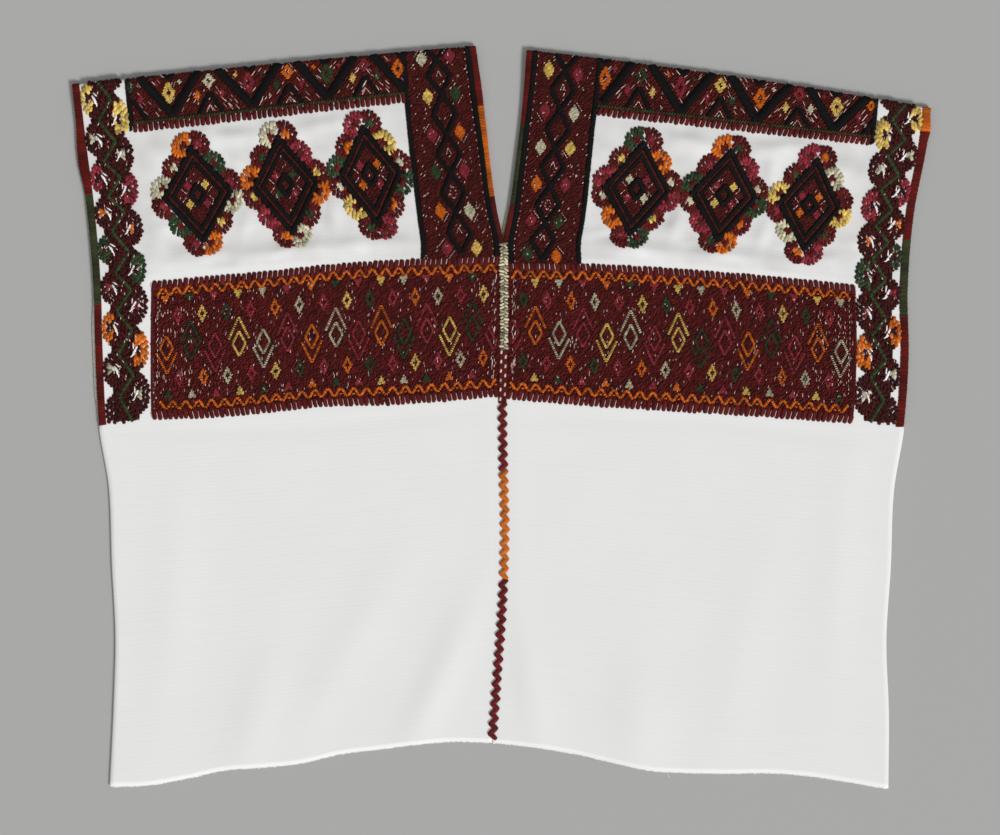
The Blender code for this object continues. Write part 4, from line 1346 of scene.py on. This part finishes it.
def sleeve_band(half, seed):
    chart = Chart(half, seed)
    turns = [(VINE_EDGES[k % 2], down) for k, down in enumerate(VINE_TURNS[half.name])]
    vine = [(365.5, -2.2), *turns, (355.5, 331.0)]
    acrosses, downs = np.array(vine).T
    chart.run(vine, 2.0, size=(3.3, 2.3, 1.4), colour=LEAF, lift=0.65, uneven=0.3)

    def vine_at(down):
        return np.interp(down, downs, acrosses)

    # Inner flowers lie towards the neck and outer ones towards the edging: away is -1 or 1.
    for rows, blooms, centre, heart, bright, radii, away in (
        (INNER_FLOWERS[half.name], INNER_BLOOMS, 350.5, 347.2, 351.0, (14.2, 19.8), -1),
        (OUTER_FLOWERS[half.name], OUTER_BLOOMS, 368.5, 374.2, 370.6, (13.6, 17.5), 1),
    ):
        for down, bloom in zip(rows, blooms):

            def own_place(across, at):
                clear = (across - vine_at(at)) * away > 6.8
                return clear & (across < 381.5) & (at > -2.3) & (at < 331)

            def own_colour(across, at):
                shade = np.tile(SHADE_RED[:3], (len(across), 1))
                is_bright = ((across - bright) * away > 0) & (np.abs(at - down) < radii[1] * 0.74)
                shade[is_bright] = bloom.petal[:3]
                shade[np.hypot(across - heart, (at - down) * 0.8) < 3.7] = bloom.heart[:3]
                return shade

            petals(chart, (centre, down), radii, own_place, own_colour)
            if 0 < down < 320:
                slant = 90 - away * half.side * 25
                slit = heart - away * (3.4 if away < 0 else 5.8)
                for beside, below, turn, size in (
                    (0.0, 1.0, 0, (10.0, 3.0, 1.0)),
                    (1.2, -3.6, 24, (6.4, 1.7, 1.0)),
                    (1.8, 4.8, -28, (6.2, 1.7, 1.0)),
                ):
                    chart.lay(slit - away * beside, down + below, slant + turn, size, COTTON_WHITE, 1.0, 0.05)
                specks = chart.chance.uniform(-8, 8, (8, 2)) * (1.0, 1.9) + (slit - away * 1, down)
                lie = 90 + chart.chance.uniform(-40, 40, 8)
                chart.lay(specks[:, 0], specks[:, 1], lie, (2.7, 0.8, 0.9), PINK_WHITE, 1.1, 0.25)
    # Dark red rows keep close to both sides of the vine.
    for shift in (-5.9, -3.1, 3.1, 5.9):
        at = np.arange(-1.5 + abs(shift) % 1.9, 330.0, 4.0)
        at = at + chart.chance.uniform(-0.4, 0.4, len(at))
        slope = (vine_at(at + 0.5) - vine_at(at - 0.5)) * half.side
        lean = 90 + np.degrees(np.arctan(slope)) * 0.7
        chart.lay(vine_at(at) + shift, at, lean, (5.4, 3.1, 1.6), SHADE_RED, 0.42, 0.22)
    return chart.finished(half.name + "_sleeve_band", sides=5, rings=4, blunt=0.5)


sleeve_bands = {half.name: sleeve_band(half, 51 + half.side) for half in (LEFT, RIGHT)}


# The edging
# Close satin stitches wrap the edge of the cloth round each armhole and down the neck slit, in lengths of
# different colours. The back layer's edges have a plain cream overcast.
Length = namedtuple("Length", "end colour")
EDGE_RED = dye(92, 19, 12)
EDGE_GREEN = dye(52, 56, 32)
ARMHOLE_LENGTHS = {
    "left": (Length(106.0, EDGE_RED), Length(219.7, EDGE_GREEN), Length(333, EDGE_RED)),
    "right": (Length(27.4, ORANGE), Length(144.9, EDGE_RED), Length(226, EDGE_GREEN), Length(333, EDGE_RED)),
}
NECK_LENGTHS = {
    "left": (Length(61, EDGE_RED), Length(140, ORANGE), Length(181, DEEP_RED)),
    "right": (Length(64, EDGE_RED), Length(142, EDGE_GREEN), Length(181, DEEP_RED)),
}
SATIN_PITCH = 1.35
ARMHOLE_SATIN = {"left": 7.0, "right": 8.2}

# How far the rolled edge lies beyond the cloth, down the armhole and down the neck.
Reach = namedtuple("Reach", "down beyond")
ARMHOLE_REACH = {
    "left": (
        Reach(-3, 0.5), Reach(35, 1.0), Reach(60, 3.0), Reach(76, 3.4), Reach(94, 1.6), Reach(112, 0.6),
        Reach(333, 0.5),
    ),
    "right": (
        Reach(-3, 0.5), Reach(10, 0.8), Reach(24, 2.2), Reach(40, 0.8), Reach(60, 0.5), Reach(333, 0.5),
    ),
}
NECK_REACH = {
    "left": (
        Reach(-3, 0.8), Reach(15, 2.0), Reach(45, 4.0), Reach(80, 3.2), Reach(112, 1.4), Reach(142, 0.6),
        Reach(182, 0.5),
    ),
    "right": (Reach(-3, 0.7), Reach(182, 0.7)),
}


def edging(half, seed):
    chart = Chart(half, seed)
    for lengths, reach, is_neck in (
        (ARMHOLE_LENGTHS[half.name], ARMHOLE_REACH[half.name], False),
        (NECK_LENGTHS[half.name], NECK_REACH[half.name], True),
    ):
        start = -2.6
        for length in lengths:
            down = np.arange(start, length.end, SATIN_PITCH)
            beyond = smooth(reach, "beyond", down)
            if is_neck:
                inner = smooth(INNER_LINE[half.name], "across", down) - 1.4
                centre, wide = (inner - beyond) / 2, inner + beyond
            else:
                inner = ARMHOLE_SATIN[half.name]
                centre, wide = CLOTH_WIDTH + (beyond - inner) / 2, inner + beyond
            wear = 1 + 0.2 * np.sin(down / 9.0 + len(lengths)) + 0.12 * np.sin(down / 2.9)
            colour = wear[:, None] * np.array([length.colour[:3]])
            sizes = np.stack([wide, np.full(len(down), 1.7), np.full(len(down), 2.7)], axis=-1)
            chart.lay(centre, down, 4, sizes, colour, -0.42, 0.12)
            start = length.end
    return chart.finished(half.name + "_edging", sides=6, rings=5, blunt=0.45, lean=0.05, grow=0.04)


edgings = {half.name: edging(half, 61 + half.side) for half in (LEFT, RIGHT)}


def back_edging(half, seed):
    """Short cream stitches over the back layer's armhole edge and neck edge."""
    chance = np.random.default_rng(seed)
    places, runs, faces, sizes, colours = [], [], [], [], []
    for across, least, most in ((CLOTH_WIDTH - 0.9, 3.5, 330.0), (0.9, 3.5, 178.0)):
        down = np.arange(least, most, 2.1)
        is_at_slit = half.side > 0 and across < 9
        shift = ramp(down, 140, 152) * ramp(-down, -182, -172) * (3.0 if is_at_slit else 0.0)
        place = back_place(half, np.full(len(down), across), down)
        place[:, 0] -= shift * MM
        place[:, 2] = 0.75 * MM
        places.append(place)
        runs.append(np.tile([1.0, 0.1, 0.0], (len(down), 1)))
        faces.append(np.tile([0.0, 0.0, 1.0], (len(down), 1)))
        sizes.append(np.tile([1.8, 1.36, 3.2], (len(down), 1)) * MM)
        tone = chance.normal(1.0, 0.08, (len(down), 1))
        colours.append(np.concatenate([np.array([CREAM[:3]]) * tone, np.ones((len(down), 1))], axis=1))
    parts = [np.concatenate(part) for part in (places, runs, faces, sizes, colours)]
    return lay_stitches(half.name + "_back_edging", *parts, "cream_thread", rings=4)


back_edgings = {half.name: back_edging(half, 71 + half.side) for half in (LEFT, RIGHT)}


# The centre seam
# The two selvedges meet edge to edge and are joined by hand: a close cream overcast below the neck slit,
# then thick thread that crosses from side to side in dark red, orange and dark red. The back is plain.
Seam = namedtuple("Seam", "name node slot start end colour")
SEAM_THREADS = (
    Seam("seam_red_upper", "join_red_upper", "dark_red_thread", 338.0, 402.0, dye(98, 25, 25)),
    Seam("seam_orange", "join_orange", "orange_thread", 404.0, 510.0, dye(188, 98, 28)),
    Seam("seam_red_lower", "join_red_lower", "dark_red_thread", 512.0, 668.0, dye(96, 24, 25)),
)
SEAM_PITCH = 9.6
LADDER_START = 284.0


def seam_stitches(name, node, slot, down, right, slant, size, lift, colour, seed, uneven=0.1, **how):
    """Stitches along the centre seam. right is the place beside its middle and size is in mm."""
    chance = np.random.default_rng(seed)
    down = np.asarray(down, float)
    place = seam_place(down)
    place[:, 0] += right * MM
    place[:, 2] += lift * MM
    slant = np.radians(np.broadcast_to(slant, down.shape))
    run = np.stack([np.cos(slant), np.sin(slant), np.zeros_like(slant)], axis=-1)
    face = np.tile([0.0, 0.0, 1.0], (len(down), 1))
    sizes = np.broadcast_to(np.asarray(size, float)[..., [1, 2, 0]], (len(down), 3)) * MM
    tone = chance.normal(1.0, uneven, (len(down), 1)).clip(0.6, 1.4)
    shades = np.broadcast_to(np.asarray(colour, float)[..., :3], (len(down), 3)) * tone
    shades = np.concatenate([shades, np.ones((len(down), 1))], axis=1)
    item = lay_stitches(name, place, run, face, sizes, shades, slot, **how)
    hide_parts(node)
    return item


# Two columns of slanting stitches cover an under row. Below the cream length the red one is open, and
# small white steps show in turn at its two sides.
CREAM_DARK = dye(112, 102, 80)
CREAM_LIGHT = dye(196, 188, 160)
under = np.arange(183.0, LADDER_START, 1.9)
over = np.arange(184.0, LADDER_START - 1, 1.55)
sides = np.where(np.arange(len(over)) % 2 == 0, -2.0, 2.0)
cream_right = np.concatenate([np.zeros(len(under)), sides])
cream_slant = np.concatenate([np.full(len(under), 8), sides * -9])
cream_size = [np.tile([7.8, 2.1, 1.2], (len(under), 1)), np.tile([4.6, 2.1, 1.9], (len(over), 1))]
cream_shades = [np.tile(CREAM_DARK[:3], (len(under), 1)), np.tile(CREAM_LIGHT[:3], (len(over), 1))]
seam_stitches(
    "seam_cream", "join_cream", "cream_thread", np.concatenate([under, over]), cream_right, cream_slant,
    np.concatenate(cream_size), 0.75, np.concatenate(cream_shades), 81, uneven=0.42,
    sides=6, rings=5, blunt=0.6, lean=0.6, grow=0.35,
)
ladder = np.arange(LADDER_START + 1, 337.0, 1.7)
steps = np.arange(LADDER_START + 2, 337.0, 4.7)
for row in SEAM_THREADS:
    count = round((row.end - row.start) / (SEAM_PITCH / 2))
    down = row.start + (np.arange(count) + 0.5) * (row.end - row.start) / count
    right = np.zeros(count)
    slant = np.where(np.arange(count) % 2 == 0, 40.0, -40.0)
    size = np.tile([10.6, 4.6, 2.0], (count, 1))
    colour = np.tile(row.colour[:3], (count, 1))
    lift = np.full(count, 1.15)
    if row.name == "seam_red_upper":
        down = np.concatenate([down, ladder, steps])
        step_side = np.where(np.arange(len(steps)) % 2 == 0, -2.1, 2.1)
        right = np.concatenate([right, np.zeros(len(ladder)), step_side])
        slant = np.concatenate([slant, np.full(len(ladder), 12.0), np.full(len(steps), 80.0)])
        rung, step = np.tile([8.6, 2.2, 1.6], (len(ladder), 1)), np.tile([3.6, 1.9, 0.9], (len(steps), 1))
        size = np.concatenate([size, rung, step])
        red, white = np.tile(DEEP_RED[:3], (len(ladder), 1)), np.tile(PINK_WHITE[:3], (len(steps), 1))
        colour = np.concatenate([colour, red, white])
        lift = np.concatenate([lift, np.full(len(ladder), 0.7), np.full(len(steps), 1.5)])
    seam_stitches(
        row.name, row.node, row.slot, down, right, slant, size, lift, colour, 83, uneven=0.14,
        sides=8, rings=7, blunt=0.55, lean=0.05, grow=0.05,
    )
back_down = np.arange(NECK_DEPTH + 3, CLOTH_DROP - 1, 2.2)
back_seam = seam_stitches(
    "seam_back", "join_back", "cream_thread", back_down, 0.0, 20, (5.6, 2.2, 1.1), 0.0,
    dye(206, 202, 180), 85, sides=5, rings=4, blunt=0.5,
)
for corner in back_seam.data.vertices:
    corner.co.z += (0.62 - 2 * CLOTH_THICK - LAYER_GAP) * MM


# The hem
# The cut ends of the warp stand along the hem as small loops, and a few loose threads hang from it.
Stray = namedtuple("Stray", "x y lean length")
STRAYS = (
    Stray(129.5, -333.0, -100, 6.0),
    Stray(150.0, -338.0, -50, 7.0),
    Stray(152.0, -338.5, -42, 7.5),
    Stray(159.5, -340.0, -95, 6.5),
    Stray(187.0, -340.0, -60, 3.0),
    Stray(-16.5, -311.0, -35, 7.0),
)


def hem_loops(half, seed):
    """Warp ends along the front hem."""
    chart = Chart(half, seed)
    across = np.arange(1.5, CLOTH_WIDTH - 1, 2.3)
    across = across + chart.chance.uniform(-0.5, 0.5, len(across))
    down = CLOTH_DROP - 0.2 + chart.chance.uniform(-0.5, 0.5, len(across))
    lean = 90 + chart.chance.uniform(-22, 22, len(across))
    chart.lay(across, down, lean, (2.6, 2.0, 1.2), COTTON_WHITE, -0.55, 0.05)
    return chart.finished(half.name + "_hem", "white_cotton", rings=4)


hems = {half.name: hem_loops(half, 91 + half.side) for half in (LEFT, RIGHT)}


def loose_threads():
    """Each loose thread is a short row of thin stitches, each turned a little further."""
    places, runs = [], []
    for stray in STRAYS:
        count = max(3, round(stray.length / 1.3))
        x, y, lean = stray.x, stray.y, stray.lean
        for _ in range(count):
            way = (math.cos(math.radians(lean)), math.sin(math.radians(lean)))
            places.append(((x + way[0] * 0.6) * MM, (y + way[1] * 0.6) * MM, 1.9 * MM))
            runs.append((*way, 0.0))
            x, y, lean = x + way[0] * 1.2, y + way[1] * 1.2, lean + 14
    faces = [(0.0, 0.0, 1.0)] * len(places)
    sizes = [(0.55 * MM, 0.55 * MM, 1.9 * MM)] * len(places)
    colours = [COTTON_WHITE] * len(places)
    return lay_stitches(
        "loose_threads", places, runs, faces, sizes, colours, "white_cotton", rings=4, lean=0.0
    )


loose_threads()

for half in (LEFT, RIGHT):
    own = [part[half.name] for part in (neck_bands, shoulder_bands, medallions, chest_bands, sleeve_bands)]
    own.append(bpy.data.objects[half.name + "_chest_teeth"])
    own += [part[half.name] for part in (edgings, back_edgings, hems)]


# The floor, the light and the camera
# The blouse lies on a pale floor under soft studio light, and the camera looks straight down on it.
floor_mesh = bpy.data.meshes.new("floor")
floor_corners = [(-30, -30, -0.0004), (30, -30, -0.0004), (30, 30, -0.0004), (-30, 30, -0.0004)]
floor_mesh.from_pydata(floor_corners, [], [(0, 1, 2, 3)])
floor = bpy.data.objects.new("floor", floor_mesh)
bpy.context.scene.collection.objects.link(floor)
floor_finish = Finish("floor", {"Base Color": (0.40, 0.40, 0.395, 1.0), "Roughness": 0.9})
floor_mesh.materials.append(floor_finish.material)

lamp = bpy.data.lights.new("key", "SUN")
lamp.energy = 2.75
lamp.angle = math.radians(16)
key = bpy.data.objects.new("key", lamp)
key.rotation_euler = (math.radians(52), 0.0, math.radians(38))
bpy.context.scene.collection.objects.link(key)
world = bpy.data.worlds.new("studio")
world.use_nodes = True
world.node_tree.nodes["Background"].inputs["Color"].default_value = (1.0, 1.0, 1.0, 1.0)
world.node_tree.nodes["Background"].inputs["Strength"].default_value = 0.43
bpy.context.scene.world = world
bpy.context.scene.view_settings.view_transform = "Standard"

lens = bpy.data.cameras.new("camera")
lens.lens = 90.0
lens.sensor_width = 36.0
camera = bpy.data.objects.new("camera", lens)
camera.location = (-1.44 * MM, 0.0, 2.4)
bpy.context.scene.collection.objects.link(camera)
bpy.context.scene.camera = camera
